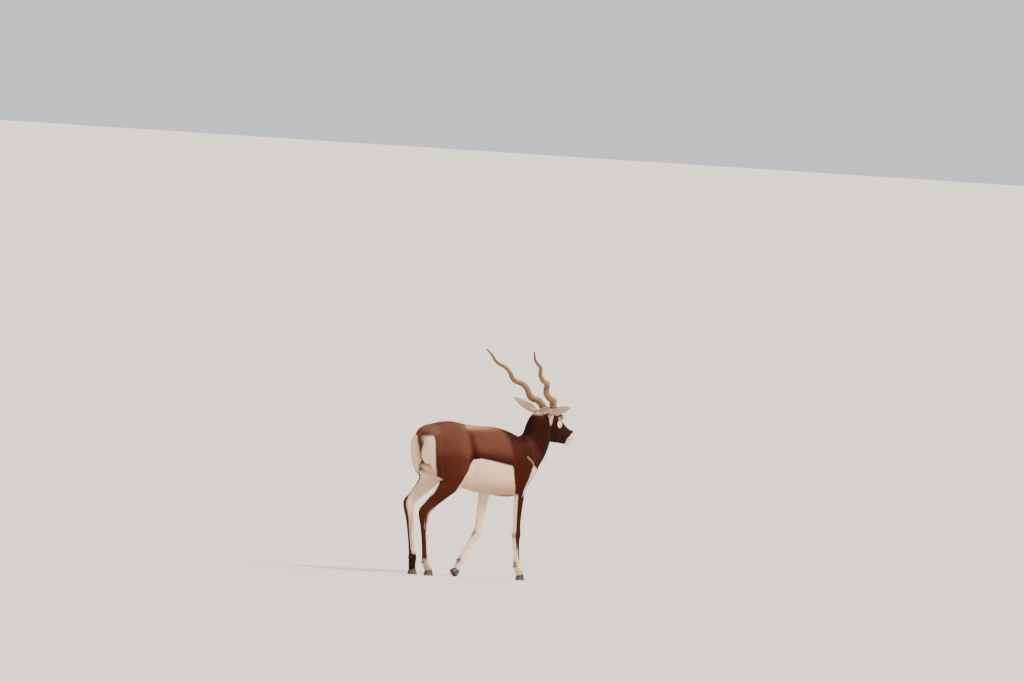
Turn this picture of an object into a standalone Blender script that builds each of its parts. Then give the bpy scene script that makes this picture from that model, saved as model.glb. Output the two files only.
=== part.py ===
"""Adult male blackbuck, a still life-size model.

The animal stands with its head turned a little to its left, the left front foot drawn
back onto its toe. X runs from the rump to the chest, Y to the animal's left, Z up.
All sizes are in metres. The tables give outlines in side view, worked out for an animal
80 cm high at the shoulder. At the end the whole model is moved so that the middle of
its box, at floor level, is the origin.
"""

import math

import bmesh
import bpy
import numpy as np
from mathutils import Matrix, Vector
from mathutils.bvhtree import BVHTree

# Clearance between touching pieces
GAP = 0.0003

# Voxel sizes, smoothing and triangle counts of the flesh
BODY_VOXEL = 0.004
HEAD_VOXEL = 0.0032
BODY_TRIANGLES = 4700
HEAD_TRIANGLES = 1700
SMOOTH_ROUNDS = 24
HEAD_SMOOTH_ROUNDS = 5

# The head and the top of the neck turn about this upright line
NECK_AXIS_X = 0.80
HEAD_TURN = math.radians(13)

# Trunk: top x, top z, bottom x, bottom z, half width
TRUNK = [
    (0.002, 0.776, 0.040, 0.712, 0.028),
    (0.032, 0.799, 0.080, 0.645, 0.062),
    (0.110, 0.821, 0.132, 0.580, 0.086),
    (0.205, 0.829, 0.205, 0.528, 0.098),
    (0.300, 0.814, 0.290, 0.476, 0.104),
    (0.390, 0.804, 0.385, 0.450, 0.113),
    (0.480, 0.801, 0.480, 0.434, 0.117),
    (0.560, 0.787, 0.560, 0.425, 0.111),
    (0.630, 0.763, 0.640, 0.425, 0.098),
    (0.690, 0.736, 0.712, 0.456, 0.084),
    (0.730, 0.702, 0.760, 0.512, 0.068),
    (0.762, 0.656, 0.782, 0.565, 0.044),
]

# Neck: nape x, nape z, throat x, throat z, half width, share of the head's turn
NECK = [
    (0.590, 0.748, 0.735, 0.490, 0.062, 0.0),
    (0.640, 0.756, 0.790, 0.560, 0.070, 0.0),
    (0.684, 0.750, 0.835, 0.632, 0.066, 0.05),
    (0.706, 0.779, 0.862, 0.690, 0.060, 0.2),
    (0.716, 0.818, 0.872, 0.738, 0.056, 0.5),
    (0.736, 0.860, 0.874, 0.780, 0.051, 0.9),
    (0.778, 0.892, 0.880, 0.810, 0.044, 1.0),
]

# Head before its turn: top x, top z, bottom x, bottom z, half width
HEAD = [
    (0.790, 0.866, 0.800, 0.768, 0.034),
    (0.820, 0.893, 0.830, 0.743, 0.043),
    (0.858, 0.911, 0.856, 0.730, 0.048),
    (0.890, 0.904, 0.880, 0.723, 0.050),
    (0.924, 0.880, 0.908, 0.719, 0.047),
    (0.955, 0.855, 0.935, 0.716, 0.039),
    (0.985, 0.830, 0.962, 0.714, 0.031),
    (1.014, 0.809, 0.988, 0.711, 0.027),
    (1.041, 0.794, 1.012, 0.707, 0.0255),
    (1.062, 0.782, 1.034, 0.704, 0.0245),
    (1.075, 0.768, 1.052, 0.709, 0.020),
    (1.078, 0.752, 1.062, 0.722, 0.012),
]

# A front leg standing straight. Bone, front x, front z, rear x, rear z, half width, y.
# Bones: 0 upper arm, 1 forearm, 2 cannon, 3 pastern, 4 hoof; a half is the joint between.
FRONT_LEG = [
    (0.0, 0.700, 0.735, 0.610, 0.718, 0.026, 0.048),
    (0.0, 0.746, 0.678, 0.608, 0.660, 0.038, 0.058),
    (0.0, 0.770, 0.615, 0.600, 0.588, 0.042, 0.066),
    (0.0, 0.746, 0.556, 0.598, 0.525, 0.040, 0.072),
    (0.5, 0.698, 0.508, 0.594, 0.482, 0.034, 0.075),
    (1.0, 0.677, 0.455, 0.606, 0.440, 0.0275, 0.074),
    (1.0, 0.670, 0.395, 0.612, 0.388, 0.0225, 0.071),
    (1.0, 0.666, 0.330, 0.620, 0.328, 0.0190, 0.067),
    (1.0, 0.668, 0.278, 0.624, 0.278, 0.0180, 0.064),
    (1.5, 0.674, 0.248, 0.618, 0.244, 0.0210, 0.062),
    (2.0, 0.671, 0.214, 0.627, 0.212, 0.0175, 0.060),
    (2.0, 0.675, 0.165, 0.638, 0.162, 0.0142, 0.058),
    (2.0, 0.682, 0.118, 0.645, 0.113, 0.0142, 0.056),
    (2.5, 0.695, 0.082, 0.649, 0.072, 0.0185, 0.055),
    (3.0, 0.703, 0.056, 0.663, 0.044, 0.0170, 0.055),
    (4.0, 0.713, 0.037, 0.674, 0.023, 0.0175, 0.055),
    (4.0, 0.720, 0.020, 0.682, 0.006, 0.0175, 0.055),
]
FRONT_JOINTS = [
    (0.735, 0.600),
    (0.640, 0.485),
    (0.646, 0.248),
    (0.670, 0.078),
    (0.6915, 0.030),
    (0.716, 0.000),
]

# A hind leg, in the same columns. Bones: 0 thigh, 1 gaskin, 2 cannon, 3 pastern, 4 hoof.
HIND_LEG = [
    (0.0, 0.190, 0.792, 0.034, 0.768, 0.044, 0.046),
    (0.0, 0.252, 0.738, 0.000, 0.722, 0.057, 0.056),
    (0.0, 0.286, 0.668, 0.006, 0.660, 0.058, 0.064),
    (0.0, 0.296, 0.604, 0.038, 0.590, 0.054, 0.075),
    (0.5, 0.282, 0.540, 0.072, 0.530, 0.046, 0.084),
    (1.0, 0.220, 0.462, 0.098, 0.502, 0.036, 0.082),
    (1.0, 0.152, 0.414, 0.070, 0.456, 0.0285, 0.077),
    (1.0, 0.098, 0.376, 0.028, 0.404, 0.0235, 0.071),
    (1.5, 0.062, 0.340, -0.014, 0.356, 0.0225, 0.067),
    (2.0, 0.050, 0.306, -0.015, 0.318, 0.0200, 0.065),
    (2.0, 0.050, 0.268, 0.000, 0.272, 0.0168, 0.063),
    (2.0, 0.055, 0.212, 0.013, 0.212, 0.0150, 0.062),
    (2.0, 0.063, 0.148, 0.023, 0.145, 0.0150, 0.061),
    (2.0, 0.069, 0.108, 0.028, 0.104, 0.0162, 0.060),
    (2.5, 0.077, 0.083, 0.030, 0.073, 0.0192, 0.060),
    (3.0, 0.084, 0.059, 0.043, 0.047, 0.0175, 0.060),
    (4.0, 0.094, 0.038, 0.055, 0.024, 0.0180, 0.060),
    (4.0, 0.102, 0.021, 0.063, 0.007, 0.0180, 0.060),
]
HIND_JOINTS = [
    (0.130, 0.740),
    (0.228, 0.545),
    (0.018, 0.338),
    (0.050, 0.080),
    (0.0725, 0.031),
    (0.099, 0.000),
]

# Each leg: its table, its joints as it stands, side (left is +1), and how far the foot spreads
LEGS = {
    "front_right": (FRONT_LEG, FRONT_JOINTS, FRONT_JOINTS, -1, 0.000),
    "front_left": (
        FRONT_LEG,
        FRONT_JOINTS,
        [(0.690, 0.592), (0.529, 0.468), (0.492, 0.243), (0.391, 0.086), (0.369, 0.0375), (0.3610, -0.0015)],
        1,
        0.030,
    ),
    "hind_right": (HIND_LEG, HIND_JOINTS, HIND_JOINTS, -1, 0.000),
    "hind_left": (
        HIND_LEG,
        HIND_JOINTS,
        [(0.130, 0.740), (0.207, 0.554), (0.009, 0.380), (0.050, 0.096), (0.0535, 0.031), (0.080, 0.000)],
        1,
        0.000,
    ),
}
SPREAD_FROM_Z = 0.62

# Where a leg is parted from the trunk, in side view. The first and last points lie level
# with each other: above them the inner side of the cut slopes outwards.
LEG_CUT_UPPER = {
    "front": [
        (0.440, 0.425), (0.500, 0.452), (0.550, 0.520), (0.585, 0.600), (0.628, 0.660),
        (0.674, 0.682), (0.714, 0.662), (0.744, 0.606), (0.760, 0.540), (0.772, 0.470), (0.790, 0.425),
    ],
    "hind": [
        (-0.120, 0.500), (-0.120, 0.690), (-0.010, 0.704), (0.052, 0.738), (0.110, 0.762),
        (0.170, 0.768), (0.226, 0.742), (0.268, 0.690), (0.298, 0.625), (0.312, 0.560), (0.305, 0.500),
    ],
}
LEG_CUT_LOWER = {
    "front": [(0.860, -0.080), (0.210, -0.080), (0.290, 0.330), (0.380, 0.400)],
    "hind": [(0.270, 0.380), (0.190, -0.080), (-0.120, -0.080)],
}
LEG_CUT_INNER = {"front": (0.033, 0.105), "hind": (0.012, 0.120)}

# Horns, before the head's turn: base, straight length, lean, and the open spiral
HORN_BASE = Vector((0.869, 0.037, 0.907))
HORN_RUN = Vector((-0.355, 0.1315, 0.305))
HORN_SUNK = 0.016
HORN_RADIUS = 0.0195
HORN_TIP_RADIUS = 0.0030
HORN_TURNS = 3.3
HORN_PHASE = math.radians(188)
HORN_SPIRAL = 0.0115
HORN_TAPER = 0.68
HORN_RINGS = 24
HORN_RINGED = (0.03, 0.82)
HORN_SMOOTH_TIP = (0.86, 0.91, 0.96, 1.0)
HORN_RING_RISE = 0.0016
HORN_SIDES = 8

# Ears, before the head's turn: root, run to the tip of the left and the right one, the way the
# cup faces, and its size. The left ear is held higher.
EAR_ROOT = Vector((0.838, 0.041, 0.876))
EAR_RUN = {1: Vector((-0.028, 0.164, 0.078)), -1: Vector((-0.028, -0.166, 0.040))}
EAR_FACING = Vector((0.90, 0.18, -0.04))
EAR_HALF_WIDTH = 0.0218
EAR_CUP = 0.017
EAR_WALL = 0.0032

# Eyes, before the head's turn
EYE = Vector((0.924, 0.0405, 0.852))
EYE_RADIUS = 0.0150
LID_THICKNESS = 0.0022
EYE_SLIT = (0.0155, 0.0105)

# Mouth line, nostrils, before the head's turn: x and z on the side of the muzzle
LIP_LINE = [(1.052, 0.736), (1.036, 0.733), (1.018, 0.734), (1.000, 0.739), (0.984, 0.747)]
LIP_GROOVE = 0.0016
NOSTRIL = Vector((1.069, 0.013, 0.774))
NOSTRIL_SIZE = Vector((0.0075, 0.0042, 0.0042))

# Cut between head and neck, and between neck and trunk: nape point and throat point
HEAD_CUT = ((0.783, 0.900), (0.866, 0.722))
NECK_CUT = ((0.668, 0.800), (0.800, 0.570))

# Tail: top or outer x and z, lower or inner x and z, half width
TAIL = [
    (0.030, 0.786, 0.034, 0.757, 0.012),
    (0.003, 0.780, 0.015, 0.754, 0.0135),
    (-0.007, 0.756, 0.013, 0.742, 0.0135),
    (-0.004, 0.724, 0.017, 0.718, 0.0135),
    (0.007, 0.688, 0.027, 0.682, 0.0125),
    (0.021, 0.655, 0.037, 0.650, 0.0095),
    (0.033, 0.624, 0.041, 0.621, 0.004),
]

# Hooves: reach of the toe beyond its joint, heel behind the coronet, height, widths as shares
# of the foot's, roundness, narrowing to the toe, half of the cleft, and levels from the top down
HOOF_REACH = 0.010
HOOF_HEEL = 0.005
HOOF_HEIGHT = 0.030
HOOF_TOP_WIDTH = 0.92
HOOF_FLARE = 0.20
HOOF_SQUARE = 0.75
HOOF_POINT = 0.55
CLEFT = 0.0009
HOOF_LEVELS = (0.0, 0.35, 1.0)
HOOF_SIDES = 12

# Dew claws: half the space between the two of a foot, and rings as a share of the way down
# with the radius there. They lie against the rear of the fetlock.
DEW_CLAW_ASIDE = 0.0085
DEW_CLAW_RINGS = ((0.0, 0.0050), (0.5, 0.0048), (1.0, 0.0028))
DEW_CLAW_TOP = Vector((0.0075, 0.008))
DEW_CLAW_RUN = Vector((-0.0050, -0.0150))
DEW_CLAW_SIDES = 7

# The body and head rise towards the front: metres to each metre of X, fading out down the
# legs between two heights
BODY_RISE = 0.035
RISE_FROM_Z = 0.26
RISE_FULL_Z = 0.42

# Colours as they are seen, and roughness
COLOURS = {
    "dark_coat": ("#4a2a1b", 0.75),
    "pale_coat": ("#b9a08c", 0.80),
    "horn": ("#6b4f30", 0.50),
    "hoof": ("#1d1714", 0.45),
    "eye": ("#120b08", 0.08),
}


def linear(hexcode):
    """An sRGB hex colour as linear red, green, blue and alpha."""
    parts = [int(hexcode[i : i + 2], 16) / 255 for i in (1, 3, 5)]
    bent = [c / 12.92 if c <= 0.04045 else ((c + 0.055) / 1.055) ** 2.4 for c in parts]
    return (*bent, 1.0)


def make_materials():
    made = {}
    for name, (colour, roughness) in COLOURS.items():
        material = bpy.data.materials.new(name)
        material.use_nodes = True
        shader = material.node_tree.nodes["Principled BSDF"]
        shader.inputs["Base Color"].default_value = linear(colour)
        shader.inputs["Roughness"].default_value = roughness
        shader.inputs["Metallic"].default_value = 0.0
        made[name] = material
    return made


def new_object(name, points, faces):
    """A mesh object from points and faces, with its faces turned outwards."""
    mesh = bpy.data.meshes.new(name)
    mesh.from_pydata([tuple(p) for p in points], [], [tuple(f) for f in faces])
    form = bmesh.new()
    form.from_mesh(mesh)
    bmesh.ops.recalc_face_normals(form, faces=form.faces)
    form.to_mesh(mesh)
    form.free()
    obj = bpy.data.objects.new(name, mesh)
    bpy.context.scene.collection.objects.link(obj)
    return obj


def remove(*objects):
    for obj in objects:
        bpy.data.objects.remove(obj)


def applied(obj):
    """Replaces an object's mesh by what its modifiers make of it."""
    graph = bpy.context.evaluated_depsgraph_get()
    mesh = bpy.data.meshes.new_from_object(obj.evaluated_get(graph))
    obj.modifiers.clear()
    obj.data = mesh
    return obj


def combine(obj, other, operation, solver="EXACT"):
    """Cuts, joins or intersects one object with another, which is kept."""
    boolean = obj.modifiers.new("boolean", "BOOLEAN")
    boolean.operation = operation
    boolean.object = other
    boolean.solver = solver
    return applied(obj)


def copy_of(obj, name):
    twin = bpy.data.objects.new(name, obj.data.copy())
    bpy.context.scene.collection.objects.link(twin)
    return twin


def keep_largest(obj):
    """Drops every closed surface of a mesh but its largest."""
    form = bmesh.new()
    form.from_mesh(obj.data)
    left, pieces = set(form.verts), []
    while left:
        piece, edge = set(), [next(iter(left))]
        while edge:
            vert = edge.pop()
            if vert not in piece:
                piece.add(vert)
                edge.extend(e.other_vert(vert) for e in vert.link_edges)
        left -= piece
        pieces.append(piece)
    pieces.sort(key=len)
    for piece in pieces[:-1]:
        bmesh.ops.delete(form, geom=list(piece), context="VERTS")
    form.to_mesh(obj.data)
    form.free()
    return obj


def smooth_rows(rows, steps):
    """More rows between those of a table, on a smooth curve through them."""
    rows = np.array(rows, float)
    padded = np.vstack([2 * rows[0] - rows[1], rows, 2 * rows[-1] - rows[-2]])
    made = []
    for i in range(len(rows) - 1):
        a, b, c, d = padded[i : i + 4]
        for k in range(steps):
            t = k / steps
            made.append(
                b
                + 0.5 * t * (c - a + t * (2 * a - 5 * b + 4 * c - d + t * (3 * (b - c) + d - a)))
            )
    return np.array([*made, rows[-1]])


def skin_rings(rings):
    """Points and faces of a closed tube over rings of equally many points."""
    sides = len(rings[0])
    points = [p for ring in rings for p in ring]
    faces = []
    for r in range(len(rings) - 1):
        for k in range(sides):
            a, b = r * sides + k, r * sides + (k + 1) % sides
            faces.append((a, b, b + sides, a + sides))
    faces.append(tuple(range(sides)))
    faces.append(tuple(range(len(points) - sides, len(points))))
    return points, faces


def turned(point, turn):
    """A point swung about the neck's upright line."""
    x, y, z = point
    c, s = math.cos(turn), math.sin(turn)
    dx = x - NECK_AXIS_X
    return Vector((NECK_AXIS_X + dx * c - y * s, dx * s + y * c, z))


def outline_loft(name, rows, sides, steps, square=1.0):
    """A loft over rings, each drawn between two outline points in side view.
    Columns: first x, first z, second x, second z, half width, y, turn."""
    rings = []
    for ax, az, bx, bz, half, y, turn in smooth_rows(rows, steps):
        ring = []
        for k in range(sides):
            angle = 2 * math.pi * k / sides
            c, s = math.cos(angle), math.sin(angle)
            along = math.copysign(abs(c) ** square, c)
            across = math.copysign(abs(s) ** square, s)
            x = (ax + bx) / 2 + along * (ax - bx) / 2
            z = (az + bz) / 2 + along * (az - bz) / 2
            ring.append(turned((x, y + across * half, z), turn))
        rings.append(ring)
    return new_object(name, *skin_rings(rings))


def bone_map(point, bone, rest, stance):
    """A point of the straight leg carried along as its bone moves to its place in the stance."""
    a, b = Vector(rest[bone]), Vector(rest[bone + 1])
    new_a, new_b = Vector(stance[bone]), Vector(stance[bone + 1])
    run, new_run = b - a, new_b - new_a
    offset = Vector(point) - a
    along = offset.dot(run) / run.length_squared
    across = offset.dot(Vector((-run.y, run.x)).normalized())
    return new_a + new_run * along + Vector((-new_run.y, new_run.x)).normalized() * across


def posed_point(point, bone, rest, stance):
    """A point of the straight leg in its stance. A half bone number is the joint between two."""
    low = int(bone)
    first = bone_map(point, low, rest, stance)
    if bone == low:
        return first
    return (first + bone_map(point, low + 1, rest, stance)) / 2


def side_y(y, z, side, spread):
    """A leg's sideways place, with the foot spread outwards."""
    drop = max(0.0, 1 - z / SPREAD_FROM_Z)
    return side * (y + spread * drop)


def leg_rows(leg):
    """The rows of one leg in its stance, in outline_loft's columns."""
    table, rest, stance, side, spread = LEGS[leg]
    rows = []
    for bone, ax, az, bx, bz, half, y in table:
        front = posed_point((ax, az), bone, rest, stance)
        rear = posed_point((bx, bz), bone, rest, stance)
        middle = (front.y + rear.y) / 2
        rows.append((front.x, front.y, rear.x, rear.y, half, side_y(y, middle, side, spread), 0.0))
    return rows


def ellipsoid(name, centre, radii, segments=24, rings=14, spin=Matrix.Identity(3)):
    form = bmesh.new()
    bmesh.ops.create_uvsphere(form, u_segments=segments, v_segments=rings, radius=1.0)
    shape = Matrix.Translation(centre) @ spin.to_4x4() @ Matrix.Diagonal((*radii, 1.0))
    bmesh.ops.transform(form, matrix=shape, verts=form.verts)
    mesh = bpy.data.meshes.new(name)
    form.to_mesh(mesh)
    form.free()
    obj = bpy.data.objects.new(name, mesh)
    bpy.context.scene.collection.objects.link(obj)
    return obj


def joined(name, objects):
    """Several objects' meshes as one object; the objects go."""
    points, faces = [], []
    for obj in objects:
        start = len(points)
        points += [v.co.copy() for v in obj.data.vertices]
        faces += [[start + i for i in f.vertices] for f in obj.data.polygons]
    remove(*objects)
    mesh = bpy.data.meshes.new(name)
    mesh.from_pydata(points, [], faces)
    obj = bpy.data.objects.new(name, mesh)
    bpy.context.scene.collection.objects.link(obj)
    return obj


def muscles():
    """Muscles and bony points that show under the skin, in pairs: centre, radii, tilt."""
    forms = [
        ((0.655, 0.064, 0.640), (0.050, 0.030, 0.100), 20),
        ((0.735, 0.052, 0.600), (0.038, 0.032, 0.045), 0),
        ((0.618, 0.070, 0.520), (0.030, 0.026, 0.050), -30),
        ((0.150, 0.044, 0.738), (0.140, 0.044, 0.072), 8),
        ((0.048, 0.045, 0.672), (0.054, 0.033, 0.078), 14),
        ((0.262, 0.058, 0.772), (0.040, 0.020, 0.021), 0),
        ((0.262, 0.092, 0.548), (0.024, 0.026, 0.032), 0),
    ]
    made = []
    for (x, y, z), radii, tilt in forms:
        spin = Matrix.Rotation(math.radians(tilt), 3, "Y")
        for side in (-1, 1):
            made.append(ellipsoid("muscle", (x, side * y, z), radii, spin=spin))
    return made


def rows_with(rows, y=0.0, turn=0.0):
    return [(*row, y, turn) for row in rows]


def neck_rows():
    return [(*row[:5], 0.0, row[5] * HEAD_TURN) for row in NECK]


def remeshed(obj, voxel, rounds, hold_below=None):
    """One closed smooth skin over overlapping shapes. Thin legs keep their size."""
    remesh = obj.modifiers.new("remesh", "REMESH")
    remesh.mode = "VOXEL"
    remesh.voxel_size = voxel
    applied(obj)
    group = obj.vertex_groups.new(name="soft")
    for vertex in obj.data.vertices:
        weight = 1.0
        if hold_below is not None:
            low, high = hold_below
            weight = min(1.0, max(0.12, (vertex.co.z - low) / (high - low)))
        group.add([vertex.index], weight, "REPLACE")
    smooth = obj.modifiers.new("smooth", "SMOOTH")
    smooth.factor = 0.5
    smooth.iterations = rounds
    smooth.vertex_group = "soft"
    applied(obj)
    return obj


def thinned(obj, triangles):
    """The mesh brought down to about this many triangles."""
    obj.data.calc_loop_triangles()
    decimate = obj.modifiers.new("decimate", "DECIMATE")
    decimate.ratio = triangles / len(obj.data.loop_triangles)
    decimate.use_collapse_triangulate = True
    return applied(obj)


def body_flesh():
    """Trunk, neck and legs as one skin."""
    parts = [
        outline_loft("trunk", rows_with(TRUNK), 32, 4),
        outline_loft("neck", neck_rows(), 32, 4, 0.95),
        *[outline_loft(leg, leg_rows(leg), 24, 4) for leg in LEGS],
        *muscles(),
    ]
    flesh = joined("body_flesh", parts)
    return remeshed(flesh, BODY_VOXEL, SMOOTH_ROUNDS, hold_below=(0.32, 0.56))


def head_flesh():
    """Head and the top of the neck as one finer skin, with brows, lids and cheeks."""
    parts = [
        outline_loft("head", rows_with(HEAD, turn=HEAD_TURN), 32, 4, 0.92),
        outline_loft("neck", neck_rows(), 32, 4, 0.95),
    ]
    forms = [
        (EYE + Vector((-0.004, -0.006, 0.008)), (0.026, 0.016, 0.016)),
        (Vector((0.862, 0.030, 0.778)), (0.034, 0.017, 0.036)),
        (HORN_BASE + Vector((0.002, 0.0, -0.006)), (0.026, 0.022, 0.018)),
        (Vector((1.050, 0.012, 0.772)), (0.020, 0.013, 0.014)),
        (EAR_ROOT, (0.020, 0.014, 0.017)),
    ]
    for centre, radii in forms:
        for side in (-1, 1):
            place = turned((centre.x, side * centre.y, centre.z), HEAD_TURN)
            spin = Matrix.Rotation(HEAD_TURN, 3, "Z")
            parts.append(ellipsoid("form", place, radii, spin=spin))
    return remeshed(joined("head_flesh", parts), HEAD_VOXEL, HEAD_SMOOTH_ROUNDS)


def half_space(name, cut, ahead, gap):
    """A large block on one side of a cut that runs from a nape point to a throat point.
    The block keeps the gap off the cut."""
    nape, throat = Vector((cut[0][0], 0, cut[0][1])), Vector((cut[1][0], 0, cut[1][1]))
    down = (throat - nape).normalized()
    forward = Vector((-down.z, 0, down.x))
    across = Vector((0, 1, 0))
    reach = 1.5
    sense = 1 if ahead else -1
    start = (nape + throat) / 2 + forward * sense * gap
    points = []
    for depth in (0, reach):
        for u, v in ((-1, -1), (1, -1), (1, 1), (-1, 1)):
            points.append(start + forward * sense * depth + down * u * reach + across * v * reach)
    faces = [(0, 1, 2, 3), (4, 5, 6, 7), (0, 1, 5, 4), (1, 2, 6, 5), (2, 3, 7, 6), (3, 0, 4, 7)]
    return new_object(name, points, faces)


def leg_room(leg, extra):
    """The room of one leg node beside the trunk: an outline in side view, drawn out sideways."""
    kind, side = leg.split("_")[0], LEGS[leg][3]
    upper, lower = LEG_CUT_UPPER[kind], LEG_CUT_LOWER[kind]
    base, slope = LEG_CUT_INNER[kind]
    outline = [Vector(p) for p in upper + lower]
    count, bend = len(outline), upper[0][1]
    middle = sum(outline, Vector((0, 0))) / count
    grown = []
    for i, point in enumerate(outline):
        run = outline[(i + 1) % count] - outline[i - 1]
        out = Vector((run.y, -run.x)).normalized()
        if out.dot(point - middle) < 0:
            out = -out
        grown.append(point + out * extra)
    points = []
    for x, z in grown:
        points.append((x, side * (base - extra + max(0.0, z - bend) * slope), z))
    points += [(x, side * 0.4, z) for x, z in grown]
    top = list(range(len(upper)))
    low = [len(upper) - 1, *range(len(upper), count), 0]
    faces = [top, low, list(range(count, 2 * count))]
    for i in range(count):
        after = (i + 1) % count
        faces.append((i, after, after + count, i + count))
    return new_object(f"{leg}_room", points, faces)


def beyond_coronet(leg):
    """A block that takes everything of a leg below the top edge of its hooves."""
    table, rest, stance, side, spread = LEGS[leg]
    _, ax, az, bx, bz, _, y = table[-2]
    front, rear = posed_point((ax, az), 4, rest, stance), posed_point((bx, bz), 4, rest, stance)
    run = (front - rear).normalized()
    down = Vector((run.y, -run.x))
    if down.y > 0:
        down = -down
    corners = [rear - run * 0.04, front + run * 0.04]
    corners += [corners[1] + down * 0.08, corners[0] + down * 0.08]
    points = [(p.x, side * (abs(y) + across), p.y) for across in (-0.04, 0.08) for p in corners]
    faces = [(0, 1, 2, 3), (4, 5, 6, 7), (0, 1, 5, 4), (1, 2, 6, 5), (2, 3, 7, 6), (3, 0, 4, 7)]
    return new_object("foot_room", points, faces)


def claw(name, leg, outer):
    """One of a foot's two hooves: a pointed wedge, flat below, with a straight side to the cleft."""
    table, rest, stance, side, spread = LEGS[leg]
    _, ax, az, bx, bz, half, y = table[-2]
    off = Vector((az - bz, bx - ax)).normalized() * GAP
    front, rear = Vector((ax, az)) + off, Vector((bx, bz)) + off
    toe, heel = Vector((rest[5][0] + HOOF_REACH, 0.0)), Vector((bx - HOOF_HEEL, 0.0))
    centre_y = side_y(y, max(0.0, stance[5][1]) + HOOF_HEIGHT, side, spread)
    sense = side if outer else -side
    rings = []
    for share in HOOF_LEVELS:
        ahead, behind = front.lerp(toe, share), rear.lerp(heel, share)
        wide = half * (HOOF_TOP_WIDTH + HOOF_FLARE * share)
        ring = []
        for k in range(HOOF_SIDES):
            angle = 2 * math.pi * (k + 0.5) / HOOF_SIDES
            along = math.copysign(abs(math.cos(angle)) ** HOOF_SQUARE, math.cos(angle))
            aside = math.copysign(abs(math.sin(angle)) ** HOOF_SQUARE, math.sin(angle))
            taper = 1.0 - HOOF_POINT * share * max(0.0, along) ** 2
            across = CLEFT + wide * taper * (0.5 + 0.5 * aside)
            moved = bone_map(behind.lerp(ahead, 0.5 + 0.5 * along), 4, rest, stance)
            ring.append(Vector((moved.x, centre_y + sense * across, moved.y)))
        rings.append(ring)
    hoof = new_object(name, *skin_rings(rings))
    if stance[5][1] < 0:
        floor = block_below_floor()
        combine(hoof, floor, "DIFFERENCE")
        remove(floor)
    return hoof


def block_below_floor():
    """A block under floor level, to cut a flat."""
    points = [(x, y, z) for z in (0.0, -0.1) for x, y in ((-1, -1), (2, -1), (2, 1), (-1, 1))]
    faces = [(0, 1, 2, 3), (4, 5, 6, 7), (0, 1, 5, 4), (1, 2, 6, 5), (2, 3, 7, 6), (3, 0, 4, 7)]
    return new_object("floor", points, faces)


def dew_claws(leg):
    """The two small horny claws behind a fetlock."""
    table, rest, stance, side, spread = LEGS[leg]
    rear, y = next((Vector(row[3:5]), row[6]) for row in table if row[0] == 2.5)
    made = []
    for sense in (-1, 1):
        rings = []
        for share, radius in DEW_CLAW_RINGS:
            centre = rear + DEW_CLAW_TOP + DEW_CLAW_RUN * share
            ring = []
            for k in range(DEW_CLAW_SIDES):
                angle = 2 * math.pi * k / DEW_CLAW_SIDES
                place = centre + Vector((radius * math.cos(angle), radius * 0.4 * math.cos(angle)))
                moved = posed_point(place, 2.5, rest, stance)
                across = sense * DEW_CLAW_ASIDE + radius * math.sin(angle)
                ring.append(Vector((moved.x, side_y(y, moved.y, side, spread) + across, moved.y)))
            rings.append(ring)
        made.append(new_object("dew_claw", *skin_rings(rings)))
    return made


def horn_frame(side):
    """The horn's straight direction, and two directions across it."""
    run = Vector((HORN_RUN.x, side * HORN_RUN.y, HORN_RUN.z))
    axis = run.normalized()
    outward = Vector((0, side, 0))
    outward = (outward - axis * axis.dot(outward)).normalized()
    return run, axis, outward, axis.cross(outward)


def horn_centre(t, side):
    """A point of the horn's middle line, in the head before its turn. The right horn winds
    left-handed and the left horn right-handed."""
    run, axis, outward, round_way = horn_frame(side)
    base = Vector((HORN_BASE.x, side * HORN_BASE.y, HORN_BASE.z))
    grow = min(1.0, max(0.0, t) / 0.12)
    grow = grow * grow * (3 - 2 * grow)
    wide = HORN_SPIRAL * grow * (1 - 0.62 * max(0.0, t) ** 1.5)
    phase = HORN_PHASE + 2 * math.pi * HORN_TURNS * t
    return base + run * t + wide * (math.cos(phase) * outward + side * math.sin(phase) * round_way)


def horn_radius(t):
    return HORN_TIP_RADIUS + (HORN_RADIUS - HORN_TIP_RADIUS) * (1 - max(0.0, t)) ** HORN_TAPER


def horn(name, side, extra=0.0, last=1.0):
    """A horn as a tube along its spiral, with raised rings that die out towards the tip."""
    stations = [(-(HORN_SUNK + extra) / HORN_RUN.length, 0.0), (0.010, 0.0)]
    low, high = HORN_RINGED
    step = (high - low) / HORN_RINGS
    for k in range(HORN_RINGS):
        t = low + (high - low) * (k / HORN_RINGS) ** 1.05
        stations += [(t, 1.0), (t + 0.55 * step, 0.0)]
    stations += [(t, 0.0) for t in HORN_SMOOTH_TIP]
    stations = [station for station in stations if station[0] <= last]
    rings = []
    across = None
    for t, raised in stations:
        ahead = (horn_centre(t + 0.004, side) - horn_centre(t - 0.004, side)).normalized()
        if across is None:
            across = Vector((1, 0, 0))
        across = (across - ahead * ahead.dot(across)).normalized()
        other = ahead.cross(across)
        fade = max(0.0, 1 - t / 0.95)
        radius = horn_radius(t) + raised * HORN_RING_RISE * (0.4 + 0.6 * fade) + extra
        centre = horn_centre(t, side)
        ring = []
        for k in range(HORN_SIDES):
            angle = 2 * math.pi * k / HORN_SIDES
            place = centre + radius * (math.cos(angle) * across + math.sin(angle) * other)
            ring.append(turned(place, HEAD_TURN))
        rings.append(ring)
    return new_object(name, *skin_rings(rings))


def ear_frame(side):
    """Root, length direction, width direction and the way the cup faces."""
    root = Vector((EAR_ROOT.x, side * EAR_ROOT.y, EAR_ROOT.z))
    run = EAR_RUN[side]
    length = run.normalized()
    facing = Vector((EAR_FACING.x, side * EAR_FACING.y, EAR_FACING.z))
    facing = (facing - length * length.dot(facing)).normalized()
    return root, run, facing.cross(length) * side, facing


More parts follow.
